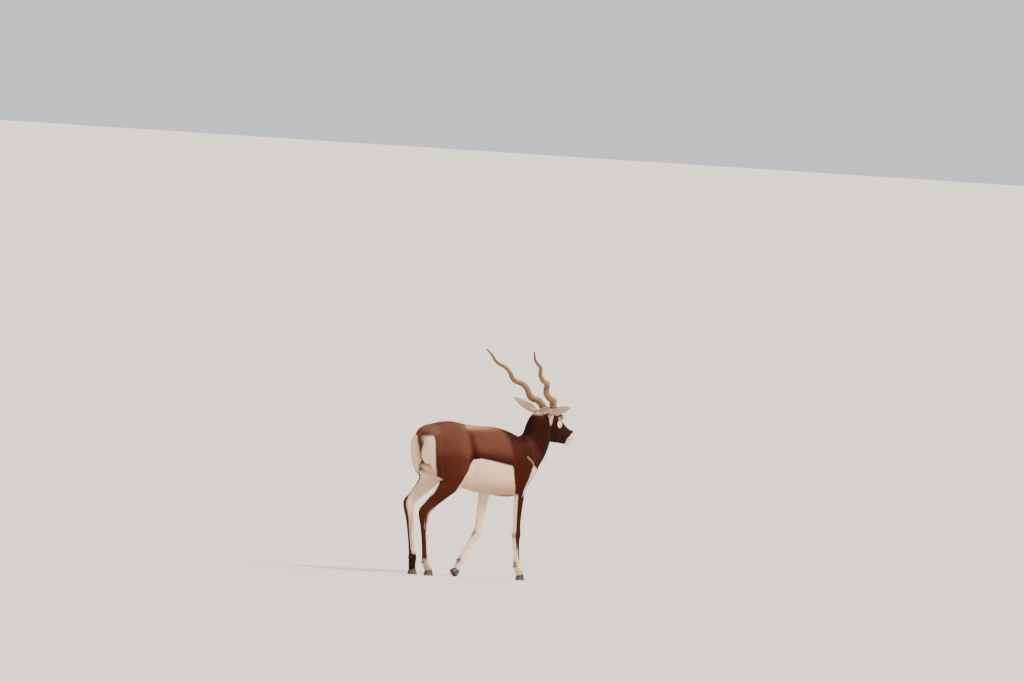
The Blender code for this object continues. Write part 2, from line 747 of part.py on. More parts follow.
def ear_profile(t):
    """Half width and cup depth of the ear, as shares, along its length."""
    wide = (0.36 + 0.64 * math.sin(math.pi * min(1.0, t / 0.84)) ** 0.8) if t < 0.42 else None
    if wide is None:
        wide = max(0.02, 1 - ((t - 0.42) / 0.58) ** 2.0)
    return wide, max(0.0, min(1.0, (t - 0.10) / 0.25)) * (1 - 0.55 * t)


def ear(name, side):
    """A leaf-shaped ear: a thin wall curved into a cup, solid at its root."""
    root, run, across, facing = ear_frame(side)
    rings, steps = [], 7
    for t in (-0.06, 0.0, 0.08, 0.18, 0.30, 0.42, 0.55, 0.68, 0.80, 0.90, 0.97, 1.0):
        wide, cup = ear_profile(max(t, 0.0))
        half = EAR_HALF_WIDTH * wide
        bow = EAR_CUP * wide * (0.75 - 0.35 * t)
        centre = root + run * t
        wall = EAR_WALL * (1 - 0.45 * max(t, 0.0))
        outer, inner = [], []
        for k in range(steps + 1):
            u = 2 * k / steps - 1
            bulge = 1 - u * u
            outer.append(centre + across * half * u - facing * (bow * bulge + wall / 2))
            hollow = bow * bulge * cup + (1 - cup) * (-bow * bulge * 0.7)
            inner.append(centre + across * half * u * 0.97 + facing * (wall / 2 - hollow))
        rings.append([turned(p, HEAD_TURN) for p in outer + inner[::-1]])
    return new_object(name, *skin_rings(rings))


def ear_socket(side):
    """What the ear's root needs in the head, with the gap."""
    root, run, across, facing = ear_frame(side)
    wide, _ = ear_profile(0.08)
    rings = []
    for t in (-0.06 - GAP / run.length, 0.0, 0.08, 0.16):
        centre = root + run * t
        share, _ = ear_profile(max(t, 0.0))
        half = EAR_HALF_WIDTH * share + GAP * 3
        bow = EAR_CUP * share * (0.75 - 0.35 * t)
        deep = bow + EAR_WALL / 2 + GAP * 3
        ring = []
        for k in range(14):
            angle = 2 * math.pi * k / 14
            c, s = math.cos(angle), math.sin(angle)
            push = -deep if s > 0 else bow * 0.72 + EAR_WALL / 2 + GAP * 3
            square = math.copysign(abs(s) ** 0.6, s)
            ring.append(turned(centre + across * half * 1.12 * c + facing * push * abs(square), HEAD_TURN))
        rings.append(ring)
    return new_object("ear_room", *skin_rings(rings))


def tail_rows(extra=0.0):
    """The tail hangs close behind the rump."""
    rows = []
    for ax, az, bx, bz, half in TAIL:
        middle, reach = Vector((ax + bx, az + bz)) / 2, Vector((ax - bx, az - bz)) / 2
        reach *= 1 + extra / reach.length
        rows.append((*(middle + reach), *(middle - reach), half + extra, 0.0, 0.0))
    first = rows[0]
    rows[0] = (first[0] + extra, first[1], first[2] + extra, *first[3:])
    return rows


def lip_groove(head):
    """A fine round groove along the mouth, laid on the skin of the muzzle."""
    tree = BVHTree.FromObject(head, bpy.context.evaluated_depsgraph_get())
    path = []
    for side in (-1, 1):
        run = []
        for x, z, *_ in smooth_rows(LIP_LINE, 3):
            start = turned((x, side * 0.1, z), HEAD_TURN)
            aim = turned((x, 0, z), HEAD_TURN) - start
            hit = tree.ray_cast(start, aim.normalized())[0]
            run.append(hit)
        path.append(run)
    front_start = turned((1.2, 0, LIP_LINE[0][1] + 0.001), HEAD_TURN)
    front_aim = turned((1.0, 0, LIP_LINE[0][1] + 0.001), HEAD_TURN) - front_start
    front = tree.ray_cast(front_start, front_aim.normalized())[0]
    points = path[0][::-1] + [front] + path[1]
    curve = bpy.data.curves.new("lip_groove", "CURVE")
    curve.dimensions = "3D"
    spline = curve.splines.new("POLY")
    spline.points.add(len(points) - 1)
    for spot, place in zip(spline.points, points):
        spot.co = (*place, 1.0)
    curve.bevel_depth = LIP_GROOVE
    curve.bevel_resolution = 1
    curve.use_fill_caps = True
    holder = bpy.data.objects.new("lip_groove", curve)
    bpy.context.scene.collection.objects.link(holder)
    graph = bpy.context.evaluated_depsgraph_get()
    mesh = bpy.data.meshes.new_from_object(holder.evaluated_get(graph))
    remove(holder)
    cutter = bpy.data.objects.new("lip_groove", mesh)
    bpy.context.scene.collection.objects.link(cutter)
    form = bmesh.new()
    form.from_mesh(mesh)
    bmesh.ops.remove_doubles(form, verts=form.verts, dist=1e-5)
    bmesh.ops.recalc_face_normals(form, faces=form.faces)
    form.to_mesh(mesh)
    form.free()
    return cutter


def carve(obj, cutter):
    combine(obj, cutter, "DIFFERENCE")
    remove(cutter)


def add_lids(head):
    """Lids round each eye: a thin dome over the eyeball with an almond opening."""
    spin = Matrix.Rotation(HEAD_TURN, 3, "Z")
    for side in (-1, 1):
        centre = turned((EYE.x, side * EYE.y, EYE.z), HEAD_TURN)
        outward = (turned((EYE.x, side * (EYE.y + 1), EYE.z), HEAD_TURN) - centre).normalized()
        dome = ellipsoid("lid", centre, [EYE_RADIUS + LID_THICKNESS] * 3, 16, 10)
        combine(head, dome, "UNION")
        remove(dome)
        slant = spin @ Matrix.Rotation(math.radians(18), 3, "Y")
        long, high = EYE_SLIT
        carve(head, ellipsoid("slit", centre + outward * EYE_RADIUS, (long, 0.011, high), 14, 8, slant))
        carve(head, ellipsoid("socket", centre, [EYE_RADIUS + GAP] * 3, 16, 10))


def carve_nostrils(head):
    for side in (-1, 1):
        place = turned((NOSTRIL.x, side * NOSTRIL.y, NOSTRIL.z), HEAD_TURN)
        spin = Matrix.Rotation(HEAD_TURN + side * math.radians(50), 3, "Z")
        spin = spin @ Matrix.Rotation(math.radians(35), 3, "Y")
        carve(head, ellipsoid("nostril", place, NOSTRIL_SIZE, 12, 8, spin))


def make_head(flesh):
    head = thinned(copy_of(flesh, "head"), HEAD_TRIANGLES)
    room = half_space("head_room", HEAD_CUT, True, GAP / 2)
    combine(head, room, "INTERSECT")
    remove(room)
    add_lids(head)
    carve_nostrils(head)
    carve(head, lip_groove(head))
    for side in (-1, 1):
        carve(head, horn("horn_room", side, GAP, 0.16))
        carve(head, ear_socket(side))
    return keep_largest(head)


def make_body(flesh):
    """Neck, trunk and legs, parted by thin cuts."""
    thinned(flesh, BODY_TRIANGLES)
    nodes = {}
    neck = copy_of(flesh, "neck")
    for cut, ahead in ((HEAD_CUT, False), (NECK_CUT, True)):
        room = half_space("room", cut, ahead, GAP / 2)
        combine(neck, room, "INTERSECT")
        remove(room)
    nodes["neck"] = keep_largest(neck)
    torso = flesh
    room = half_space("room", NECK_CUT, False, GAP / 2)
    combine(torso, room, "INTERSECT")
    remove(room)
    for leg in LEGS:
        limb = copy_of(torso, f"{leg}_leg")
        room = leg_room(leg, 0.0)
        combine(limb, room, "INTERSECT")
        remove(room)
        carve(limb, beyond_coronet(leg))
        nodes[f"{leg}_leg"] = keep_largest(limb)
        carve(torso, leg_room(leg, GAP))
    carve(torso, outline_loft("tail_room", tail_rows(GAP), 12, 3))
    nodes["torso"] = keep_largest(torso)
    return nodes


def finish(obj, material):
    obj.data.materials.clear()
    obj.data.materials.append(material)
    obj.data.shade_smooth()
    obj.data.set_sharp_from_angle(angle=math.radians(38))


def raise_front(objects):
    """Lifts the drawn body more and more towards its front. The feet stay where they are."""
    for obj in objects:
        for vertex in obj.data.vertices:
            t = (vertex.co.z - RISE_FROM_Z) / (RISE_FULL_Z - RISE_FROM_Z)
            t = min(1.0, max(0.0, t))
            vertex.co.z += BODY_RISE * vertex.co.x * t * t * (3 - 2 * t)


def centre_on_floor(objects):
    """Moves the model so that the middle of its box, at floor level, is the origin."""
    low, high = Vector((9, 9, 9)), Vector((-9, -9, -9))
    for obj in objects:
        for vertex in obj.data.vertices:
            low = Vector(map(min, low, vertex.co))
            high = Vector(map(max, high, vertex.co))
    shift = Vector((-(low.x + high.x) / 2, -(low.y + high.y) / 2, -low.z))
    for obj in objects:
        obj.data.transform(Matrix.Translation(shift))


def main():
    for obj in list(bpy.data.objects):
        bpy.data.objects.remove(obj)
    materials = make_materials()
    nodes = {}
    head_skin = head_flesh()
    nodes["head"] = make_head(head_skin)
    remove(head_skin)
    nodes.update(make_body(body_flesh()))
    looks = {name: "dark_coat" for name in nodes}
    nodes["tail"] = outline_loft("tail", tail_rows(), 12, 3)
    looks["tail"] = "dark_coat"
    for side, word in ((1, "left"), (-1, "right")):
        nodes[f"horn_{word}"] = horn(f"horn_{word}", side)
        looks[f"horn_{word}"] = "horn"
        nodes[f"ear_{word}"] = ear(f"ear_{word}", side)
        looks[f"ear_{word}"] = "pale_coat"
        centre = turned((EYE.x, side * EYE.y, EYE.z), HEAD_TURN)
        nodes[f"eye_{word}"] = ellipsoid(f"eye_{word}", centre, [EYE_RADIUS] * 3, 16, 10)
        looks[f"eye_{word}"] = "eye"
    for leg in LEGS:
        for outer, word in ((True, "outer"), (False, "inner")):
            name = f"{leg}_hoof_{word}"
            nodes[name] = claw(name, leg, outer)
            looks[name] = "hoof"
        limb = nodes[f"{leg}_leg"]
        for dew_claw in dew_claws(leg):
            combine(limb, dew_claw, "UNION")
            remove(dew_claw)
        keep_largest(limb)
    for name, obj in nodes.items():
        obj.name = name
        finish(obj, materials[looks[name]])
    raise_front(nodes.values())
    centre_on_floor(nodes.values())


main()
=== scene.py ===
"""Dressed model of an adult male blackbuck: skin, short coat, eyes, horns and hooves.

Sizes are in metres. The tables are the ones the solids are drawn from, in a drawing
frame whose X runs from the rump to the chest, Y to the animal's left and Z up. Every
mesh is moved from that frame to the frame of the solids as it is made.
"""

import math

import bmesh
import bpy
import numpy as np
from mathutils import Matrix, Vector


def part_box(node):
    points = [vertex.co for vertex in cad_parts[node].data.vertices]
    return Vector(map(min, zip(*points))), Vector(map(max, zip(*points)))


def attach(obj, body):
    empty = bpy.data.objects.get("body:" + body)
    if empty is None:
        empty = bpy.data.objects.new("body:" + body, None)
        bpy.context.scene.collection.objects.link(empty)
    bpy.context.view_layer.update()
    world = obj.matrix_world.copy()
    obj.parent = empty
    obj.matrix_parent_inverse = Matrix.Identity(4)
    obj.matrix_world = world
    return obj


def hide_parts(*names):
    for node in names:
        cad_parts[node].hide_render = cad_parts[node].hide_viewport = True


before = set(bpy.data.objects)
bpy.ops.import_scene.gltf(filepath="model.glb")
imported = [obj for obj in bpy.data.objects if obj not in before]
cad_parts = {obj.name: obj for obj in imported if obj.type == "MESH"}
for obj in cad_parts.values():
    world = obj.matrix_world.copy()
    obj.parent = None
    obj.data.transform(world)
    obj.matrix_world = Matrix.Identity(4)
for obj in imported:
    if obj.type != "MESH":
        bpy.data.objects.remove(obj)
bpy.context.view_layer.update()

# The head and the top of the neck turn about this upright line
NECK_AXIS_X = 0.80
HEAD_TURN = math.radians(13)

# Trunk: top x, top z, bottom x, bottom z, half width
TRUNK = [
    (0.002, 0.776, 0.040, 0.712, 0.028),
    (0.032, 0.799, 0.080, 0.645, 0.062),
    (0.110, 0.821, 0.132, 0.580, 0.086),
    (0.205, 0.829, 0.205, 0.528, 0.098),
    (0.300, 0.814, 0.290, 0.476, 0.104),
    (0.390, 0.804, 0.385, 0.450, 0.113),
    (0.480, 0.801, 0.480, 0.434, 0.117),
    (0.560, 0.787, 0.560, 0.425, 0.111),
    (0.630, 0.763, 0.640, 0.425, 0.098),
    (0.690, 0.736, 0.712, 0.456, 0.084),
    (0.730, 0.702, 0.760, 0.512, 0.068),
    (0.762, 0.656, 0.782, 0.565, 0.044),
]

# Neck: nape x, nape z, throat x, throat z, half width, share of the head's turn
NECK = [
    (0.590, 0.748, 0.735, 0.490, 0.062, 0.0),
    (0.640, 0.756, 0.790, 0.560, 0.070, 0.0),
    (0.684, 0.750, 0.835, 0.632, 0.066, 0.05),
    (0.706, 0.779, 0.862, 0.690, 0.060, 0.2),
    (0.716, 0.818, 0.872, 0.738, 0.056, 0.5),
    (0.736, 0.860, 0.874, 0.780, 0.051, 0.9),
    (0.778, 0.892, 0.880, 0.810, 0.044, 1.0),
]

# Head before its turn: top x, top z, bottom x, bottom z, half width
HEAD = [
    (0.790, 0.866, 0.800, 0.768, 0.034),
    (0.820, 0.893, 0.830, 0.743, 0.043),
    (0.858, 0.911, 0.856, 0.730, 0.048),
    (0.890, 0.904, 0.880, 0.723, 0.050),
    (0.924, 0.880, 0.908, 0.719, 0.047),
    (0.955, 0.855, 0.935, 0.716, 0.039),
    (0.985, 0.830, 0.962, 0.714, 0.031),
    (1.014, 0.809, 0.988, 0.711, 0.027),
    (1.041, 0.794, 1.012, 0.707, 0.0255),
    (1.062, 0.782, 1.034, 0.704, 0.0245),
    (1.075, 0.768, 1.052, 0.709, 0.020),
    (1.078, 0.752, 1.062, 0.722, 0.012),
]

# A front leg standing straight. Bone, front x, front z, rear x, rear z, half width, y.
# Bones: 0 upper arm, 1 forearm, 2 cannon, 3 pastern, 4 hoof; a half is the joint between.
FRONT_LEG = [
    (0.0, 0.700, 0.735, 0.610, 0.718, 0.026, 0.048),
    (0.0, 0.746, 0.678, 0.608, 0.660, 0.038, 0.058),
    (0.0, 0.770, 0.615, 0.600, 0.588, 0.042, 0.066),
    (0.0, 0.746, 0.556, 0.598, 0.525, 0.040, 0.072),
    (0.5, 0.698, 0.508, 0.594, 0.482, 0.034, 0.075),
    (1.0, 0.677, 0.455, 0.606, 0.440, 0.0275, 0.074),
    (1.0, 0.670, 0.395, 0.612, 0.388, 0.0225, 0.071),
    (1.0, 0.666, 0.330, 0.620, 0.328, 0.0190, 0.067),
    (1.0, 0.668, 0.278, 0.624, 0.278, 0.0180, 0.064),
    (1.5, 0.674, 0.248, 0.618, 0.244, 0.0210, 0.062),
    (2.0, 0.671, 0.214, 0.627, 0.212, 0.0175, 0.060),
    (2.0, 0.675, 0.165, 0.638, 0.162, 0.0142, 0.058),
    (2.0, 0.682, 0.118, 0.645, 0.113, 0.0142, 0.056),
    (2.5, 0.695, 0.082, 0.649, 0.072, 0.0185, 0.055),
    (3.0, 0.703, 0.056, 0.663, 0.044, 0.0170, 0.055),
    (4.0, 0.713, 0.037, 0.674, 0.023, 0.0175, 0.055),
    (4.0, 0.720, 0.020, 0.682, 0.006, 0.0175, 0.055),
]
FRONT_JOINTS = [
    (0.735, 0.600),
    (0.640, 0.485),
    (0.646, 0.248),
    (0.670, 0.078),
    (0.6915, 0.030),
    (0.716, 0.000),
]

# A hind leg, in the same columns. Bones: 0 thigh, 1 gaskin, 2 cannon, 3 pastern, 4 hoof.
HIND_LEG = [
    (0.0, 0.190, 0.792, 0.034, 0.768, 0.044, 0.046),
    (0.0, 0.252, 0.738, 0.000, 0.722, 0.057, 0.056),
    (0.0, 0.286, 0.668, 0.006, 0.660, 0.058, 0.064),
    (0.0, 0.296, 0.604, 0.038, 0.590, 0.054, 0.075),
    (0.5, 0.282, 0.540, 0.072, 0.530, 0.046, 0.084),
    (1.0, 0.220, 0.462, 0.098, 0.502, 0.036, 0.082),
    (1.0, 0.152, 0.414, 0.070, 0.456, 0.0285, 0.077),
    (1.0, 0.098, 0.376, 0.028, 0.404, 0.0235, 0.071),
    (1.5, 0.062, 0.340, -0.014, 0.356, 0.0225, 0.067),
    (2.0, 0.050, 0.306, -0.015, 0.318, 0.0200, 0.065),
    (2.0, 0.050, 0.268, 0.000, 0.272, 0.0168, 0.063),
    (2.0, 0.055, 0.212, 0.013, 0.212, 0.0150, 0.062),
    (2.0, 0.063, 0.148, 0.023, 0.145, 0.0150, 0.061),
    (2.0, 0.069, 0.108, 0.028, 0.104, 0.0162, 0.060),
    (2.5, 0.077, 0.083, 0.030, 0.073, 0.0192, 0.060),
    (3.0, 0.084, 0.059, 0.043, 0.047, 0.0175, 0.060),
    (4.0, 0.094, 0.038, 0.055, 0.024, 0.0180, 0.060),
    (4.0, 0.102, 0.021, 0.063, 0.007, 0.0180, 0.060),
]
HIND_JOINTS = [
    (0.130, 0.740),
    (0.228, 0.545),
    (0.018, 0.338),
    (0.050, 0.080),
    (0.0725, 0.031),
    (0.099, 0.000),
]

# Each leg: its table, its joints as it stands, side (left is +1), and how far the foot spreads
LEGS = {
    "front_right": (FRONT_LEG, FRONT_JOINTS, FRONT_JOINTS, -1, 0.000),
    "front_left": (
        FRONT_LEG,
        FRONT_JOINTS,
        [(0.690, 0.592), (0.529, 0.468), (0.492, 0.243), (0.391, 0.086), (0.369, 0.0375), (0.3610, -0.0015)],
        1,
        0.030,
    ),
    "hind_right": (HIND_LEG, HIND_JOINTS, HIND_JOINTS, -1, 0.000),
    "hind_left": (
        HIND_LEG,
        HIND_JOINTS,
        [(0.130, 0.740), (0.207, 0.554), (0.009, 0.380), (0.050, 0.096), (0.0535, 0.031), (0.080, 0.000)],
        1,
        0.000,
    ),
}
SPREAD_FROM_Z = 0.62

# Horns, before the head's turn: base, straight length, lean, and the open spiral
HORN_BASE = Vector((0.869, 0.037, 0.907))
HORN_RUN = Vector((-0.355, 0.1315, 0.305))
HORN_SUNK = 0.016
HORN_RADIUS = 0.0195
HORN_TIP_RADIUS = 0.0030
HORN_TURNS = 3.3
HORN_PHASE = math.radians(188)
HORN_SPIRAL = 0.0115
HORN_TAPER = 0.68

# Ears, before the head's turn: root, run to the tip of the left and the right one, the way the
# cup faces, and its size. The left ear is held higher.
EAR_ROOT = Vector((0.838, 0.041, 0.876))
EAR_RUN = {1: Vector((-0.028, 0.164, 0.078)), -1: Vector((-0.028, -0.166, 0.040))}
EAR_FACING = Vector((0.90, 0.18, -0.04))
EAR_HALF_WIDTH = 0.0218
EAR_CUP = 0.017
EAR_WALL = 0.0026

# Eyes, before the head's turn
EYE = Vector((0.924, 0.0405, 0.852))
EYE_RADIUS = 0.0150

# Mouth line and nostril, before the head's turn: x and z on the side of the muzzle
LIP_LINE = [(1.095, 0.737), (1.052, 0.736), (1.036, 0.733), (1.018, 0.734), (1.000, 0.739), (0.984, 0.747)]
NOSTRIL_LINE = [(1.0735, 0.0075, 0.7800), (1.0700, 0.0130, 0.7770), (1.0640, 0.0180, 0.7715), (1.0580, 0.0210, 0.7700)]

# Cut between head and neck: nape point and throat point
HEAD_CUT = ((0.783, 0.900), (0.866, 0.722))

# Tail: top or outer x and z, lower or inner x and z, half width
TAIL = [
    (0.030, 0.786, 0.034, 0.757, 0.012),
    (0.003, 0.780, 0.015, 0.754, 0.0135),
    (-0.007, 0.756, 0.013, 0.742, 0.0135),
    (-0.004, 0.724, 0.017, 0.718, 0.0135),
    (0.007, 0.688, 0.027, 0.682, 0.0125),
    (0.021, 0.655, 0.037, 0.650, 0.0095),
    (0.033, 0.624, 0.041, 0.621, 0.004),
]

# The body and head rise towards the front: metres to each metre of X, fading out down the
# legs between two heights
BODY_RISE = 0.035
RISE_FROM_Z = 0.26
RISE_FULL_Z = 0.42

# Skin: voxel size, and rounds of smoothing on the body, the lower legs and the head
SKIN_VOXEL = 0.0031
SKIN_ROUNDS = 40
LEG_SHARE = 0.12
HEAD_SHARE = 0.14

# Crease where the neck leaves the shoulder, smoothed further: x and z, and rounds
NECK_SEAT = [(0.672, 0.738), (0.700, 0.732), (0.776, 0.613), (0.780, 0.595)]
SEAT_ROUNDS = 170

# Coat: depth under which the skin lies, on the body and on the face and legs
BODY_DEPTH = 0.0026
FINE_DEPTH = 0.0010
HOCK_DEPTH = 0.0006


# Points and outlines


def ramp(value, low, high):
    """0 below low, 1 above high, and a smooth change between; high may be under low."""
    t = np.clip((value - low) / (high - low), 0.0, 1.0)
    return t * t * (3 - 2 * t)


def smooth_rows(rows, steps):
    """More rows between those of a table, on a smooth curve through them."""
    rows = np.array(rows, float)
    padded = np.vstack([2 * rows[0] - rows[1], rows, 2 * rows[-1] - rows[-2]])
    made = []
    for i in range(len(rows) - 1):
        a, b, c, d = padded[i : i + 4]
        for k in range(steps):
            t = k / steps
            made.append(
                b
                + 0.5 * t * (c - a + t * (2 * a - 5 * b + 4 * c - d + t * (3 * (b - c) + d - a)))
            )
    return np.array([*made, rows[-1]])


def swung(points, turn):
    """Points swung about the neck's upright line."""
    points = np.asarray(points, float).reshape(-1, 3)
    c, s = np.cos(turn), np.sin(turn)
    dx = points[:, 0] - NECK_AXIS_X
    y = points[:, 1]
    return np.column_stack([NECK_AXIS_X + dx * c - y * s, dx * s + y * c, points[:, 2]])


def turned(point, turn=HEAD_TURN):
    return Vector(swung([point], turn)[0])


def skin_rings(rings):
    """Points and faces of a closed tube over rings of equally many points."""
    sides = len(rings[0])
    points = [tuple(p) for ring in rings for p in ring]
    faces = []
    for r in range(len(rings) - 1):
        for k in range(sides):
            a, b = r * sides + k, r * sides + (k + 1) % sides
            faces.append((a, b, b + sides, a + sides))
    faces.append(tuple(range(sides - 1, -1, -1)))
    faces.append(tuple(range(len(points) - sides, len(points))))
    return points, faces


def outline_loft(rows, sides, steps, square=1.0):
    """A loft over rings, each drawn between two outline points in side view.
    Columns: first x, first z, second x, second z, half width, y, turn."""
    rings = []
    for ax, az, bx, bz, half, y, turn in smooth_rows(rows, steps):
        ring = []
        for k in range(sides):
            angle = 2 * math.pi * k / sides
            c, s = math.cos(angle), math.sin(angle)
            along = math.copysign(abs(c) ** square, c)
            across = math.copysign(abs(s) ** square, s)
            x = (ax + bx) / 2 + along * (ax - bx) / 2
            z = (az + bz) / 2 + along * (az - bz) / 2
            ring.append((x, y + across * half, z))
        rings.append(swung(ring, turn))
    return skin_rings(rings)


def ellipsoid(centre, radii, spin=Matrix.Identity(3), sides=28, levels=14):
    rings = []
    for j in range(levels):
        polar = math.pi * (j + 0.5) / levels
        ring = []
        for k in range(sides):
            angle = 2 * math.pi * k / sides
            local = Vector((math.sin(polar) * math.cos(angle), math.sin(polar) * math.sin(angle), math.cos(polar)))
            ring.append(Vector(centre) + spin @ Vector(a * b for a, b in zip(local, radii)))
        rings.append(ring)
    return skin_rings(rings)


def merged(parts):
    """Several sets of points and faces as one."""
    points, faces = [], []
    for part_points, part_faces in parts:
        start = len(points)
        points += list(part_points)
        faces += [tuple(start + i for i in face) for face in part_faces]
    return points, faces


def rows_with(rows, y=0.0, turn=0.0):
    return [(*row, y, turn) for row in rows]


def neck_rows():
    return [(*row[:5], 0.0, row[5] * HEAD_TURN) for row in NECK]


def bone_map(point, bone, rest, stance):
    """A point of the straight leg carried along as its bone moves to its place in the stance."""
    a, b = Vector(rest[bone]), Vector(rest[bone + 1])
    new_a, new_b = Vector(stance[bone]), Vector(stance[bone + 1])
    run, new_run = b - a, new_b - new_a
    offset = Vector(point) - a
    along = offset.dot(run) / run.length_squared
    across = offset.dot(Vector((-run.y, run.x)).normalized())
    return new_a + new_run * along + Vector((-new_run.y, new_run.x)).normalized() * across


def posed_point(point, bone, rest, stance):
    low = int(bone)
    first = bone_map(point, low, rest, stance)
    if bone == low:
        return first
    return (first + bone_map(point, low + 1, rest, stance)) / 2


def side_y(y, z, side, spread):
    """A leg's sideways place, with the foot spread outwards."""
    return side * (y + spread * max(0.0, 1 - z / SPREAD_FROM_Z))


def leg_rows(leg):
    """The rows of one leg in its stance down to the coronet, in outline_loft's columns."""
    table, rest, stance, side, spread = LEGS[leg]
    rows = []
    for bone, ax, az, bx, bz, half, y in table[:-1]:
        front = posed_point((ax, az), bone, rest, stance)
        rear = posed_point((bx, bz), bone, rest, stance)
        middle = (front.y + rear.y) / 2
        rows.append((front.x, front.y, rear.x, rear.y, half, side_y(y, middle, side, spread), 0.0))
    return rows


def axis_at(rows, heights):
    """The x and y of a leg's middle line at given heights."""
    table = np.array([((r[0] + r[2]) / 2, (r[1] + r[3]) / 2, r[5]) for r in smooth_rows(rows, 6)])
    order = np.argsort(table[:, 1])
    x = np.interp(heights, table[order, 1], table[order, 0])
    y = np.interp(heights, table[order, 1], table[order, 2])
    return x, y


def risen(points):
    """Points of the drawing with the front of the body raised."""
    points = np.array(points, float).reshape(-1, 3)
    points[:, 2] += BODY_RISE * points[:, 0] * ramp(points[:, 2], RISE_FROM_Z, RISE_FULL_Z)
    return points


# From the drawing frame to the frame of the solids
eye_low, eye_high = (Vector(corner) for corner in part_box("eye_right"))
SHIFT = (eye_low + eye_high) / 2 - Vector(risen(turned((EYE.x, -EYE.y, EYE.z)))[0])


# Meshes


def mesh_object(name, points, faces):
    """A mesh object in the drawing frame. placed() moves it to the solids' frame at the end."""
    mesh = bpy.data.meshes.new(name)
    mesh.from_pydata(np.asarray(points, float).tolist(), [], [tuple(int(i) for i in f) for f in faces])
    mesh.update()
    obj = bpy.data.objects.new(name, mesh)
    bpy.context.scene.collection.objects.link(obj)
    return obj


def points_of(mesh):
    points = np.empty(len(mesh.vertices) * 3)
    mesh.vertices.foreach_get("co", points)
    return points.reshape(-1, 3)


def set_points(mesh, points):
    mesh.vertices.foreach_set("co", np.asarray(points, np.float32).ravel())
    mesh.update()


def normals_of(mesh):
    normals = np.empty(len(mesh.vertices) * 3, np.float32)
    mesh.vertex_normals.foreach_get("vector", normals)
    return normals.reshape(-1, 3).astype(float)


def edges_of(mesh):
    edges = np.empty(len(mesh.edges) * 2, np.int64)
    mesh.edges.foreach_get("vertices", edges)
    return edges.reshape(-1, 2)


def relaxed(points, edges, weight, rounds):
    """Each point moves part of the way to the middle of its neighbours, some rounds over."""
    a, b = edges.T
    count = len(points)
    degree = np.maximum(np.bincount(edges.ravel(), minlength=count), 1)[:, None]
    pull = 0.5 * np.asarray(weight)[:, None] * np.ones((count, 1))
    for _ in range(rounds):
        total = np.empty_like(points)
        for axis in range(3):
            total[:, axis] = np.bincount(a, points[b, axis], count) + np.bincount(b, points[a, axis], count)
        points = points + (total / degree - points) * pull
    return points


def set_value(mesh, name, values):
    """A number for each point, which the materials read by name."""
    layer = mesh.attributes.new(name, "FLOAT", "POINT")
    layer.data.foreach_set("value", np.asarray(values, np.float32))


def unit(vectors):
    return vectors / np.maximum(np.linalg.norm(vectors, axis=1), 1e-9)[:, None]


def placed(obj, material, replaced=(), smooth=True):
    """Moves a finished piece to the solids' frame, gives it its material and ties it to the body."""
    set_points(obj.data, risen(points_of(obj.data)) + np.array(SHIFT))
    obj.data.materials.clear()
    obj.data.materials.append(material)
    if smooth:
        obj.data.shade_smooth()
    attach(obj, "root")
    if replaced:
        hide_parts(*replaced)
    return obj


# Skin


def muscle_forms():
    """Muscles and bony points that show under the skin, in pairs: centre, radii, tilt."""
    forms = [
        ((0.655, 0.064, 0.640), (0.050, 0.030, 0.100), 20),
        ((0.735, 0.052, 0.600), (0.038, 0.032, 0.045), 0),
        ((0.618, 0.070, 0.520), (0.030, 0.026, 0.050), -30),
        ((0.150, 0.044, 0.738), (0.140, 0.044, 0.072), 8),
        ((0.048, 0.045, 0.672), (0.054, 0.033, 0.078), 14),
        ((0.262, 0.058, 0.772), (0.040, 0.020, 0.021), 0),
        ((0.262, 0.092, 0.548), (0.024, 0.026, 0.032), 0),
    ]
    made = []
    for (x, y, z), radii, tilt in forms:
        spin = Matrix.Rotation(math.radians(tilt), 3, "Y")
        made += [ellipsoid((x, side * y, z), radii, spin) for side in (-1, 1)]
    return made


def head_forms():
    """Brows, cheeks, horn cores, nose and ear roots, in pairs on the turned head."""
    forms = [
        (EYE + Vector((-0.004, -0.006, 0.008)), (0.026, 0.016, 0.016)),
        (Vector((0.862, 0.030, 0.778)), (0.034, 0.017, 0.036)),
        (HORN_BASE + Vector((0.002, 0.0, -0.006)), (0.026, 0.022, 0.018)),
        (Vector((1.050, 0.012, 0.772)), (0.020, 0.013, 0.014)),
        (EAR_ROOT + Vector((-0.001, 0.004, 0.001)), (0.021, 0.020, 0.016)),
    ]
    spin = Matrix.Rotation(HEAD_TURN, 3, "Z")
    made = []
    for centre, radii in forms:
        for side in (-1, 1):
            made.append(ellipsoid(turned((centre.x, side * centre.y, centre.z)), radii, spin))
    return made


def ahead_of_neck(points):
    """How far points lie on the head's side of the cut between head and neck."""
    nape, throat = np.array(HEAD_CUT)
    down = (throat - nape) / np.linalg.norm(throat - nape)
    return (points[:, 0] - nape[0]) * -down[1] + (points[:, 2] - nape[1]) * down[0]


def head_place(points):
    """Points in the head before its turn, with both sides laid on the left one."""
    straight = swung(points, -HEAD_TURN)
    return np.column_stack([straight[:, 0], np.abs(straight[:, 1]), straight[:, 2]])


def split_finer(mesh, chosen):
    """Splits every face whose middle is in the chosen part into four."""
    form = bmesh.new()
    form.from_mesh(mesh)
    middles = np.array([face.calc_center_median() for face in form.faces])
    picked = chosen(middles)
    edges = {edge for face, take in zip(form.faces, picked) if take for edge in face.edges}
    bmesh.ops.subdivide_edges(form, edges=list(edges), cuts=1, use_grid_fill=True)
    form.to_mesh(mesh)
    form.free()


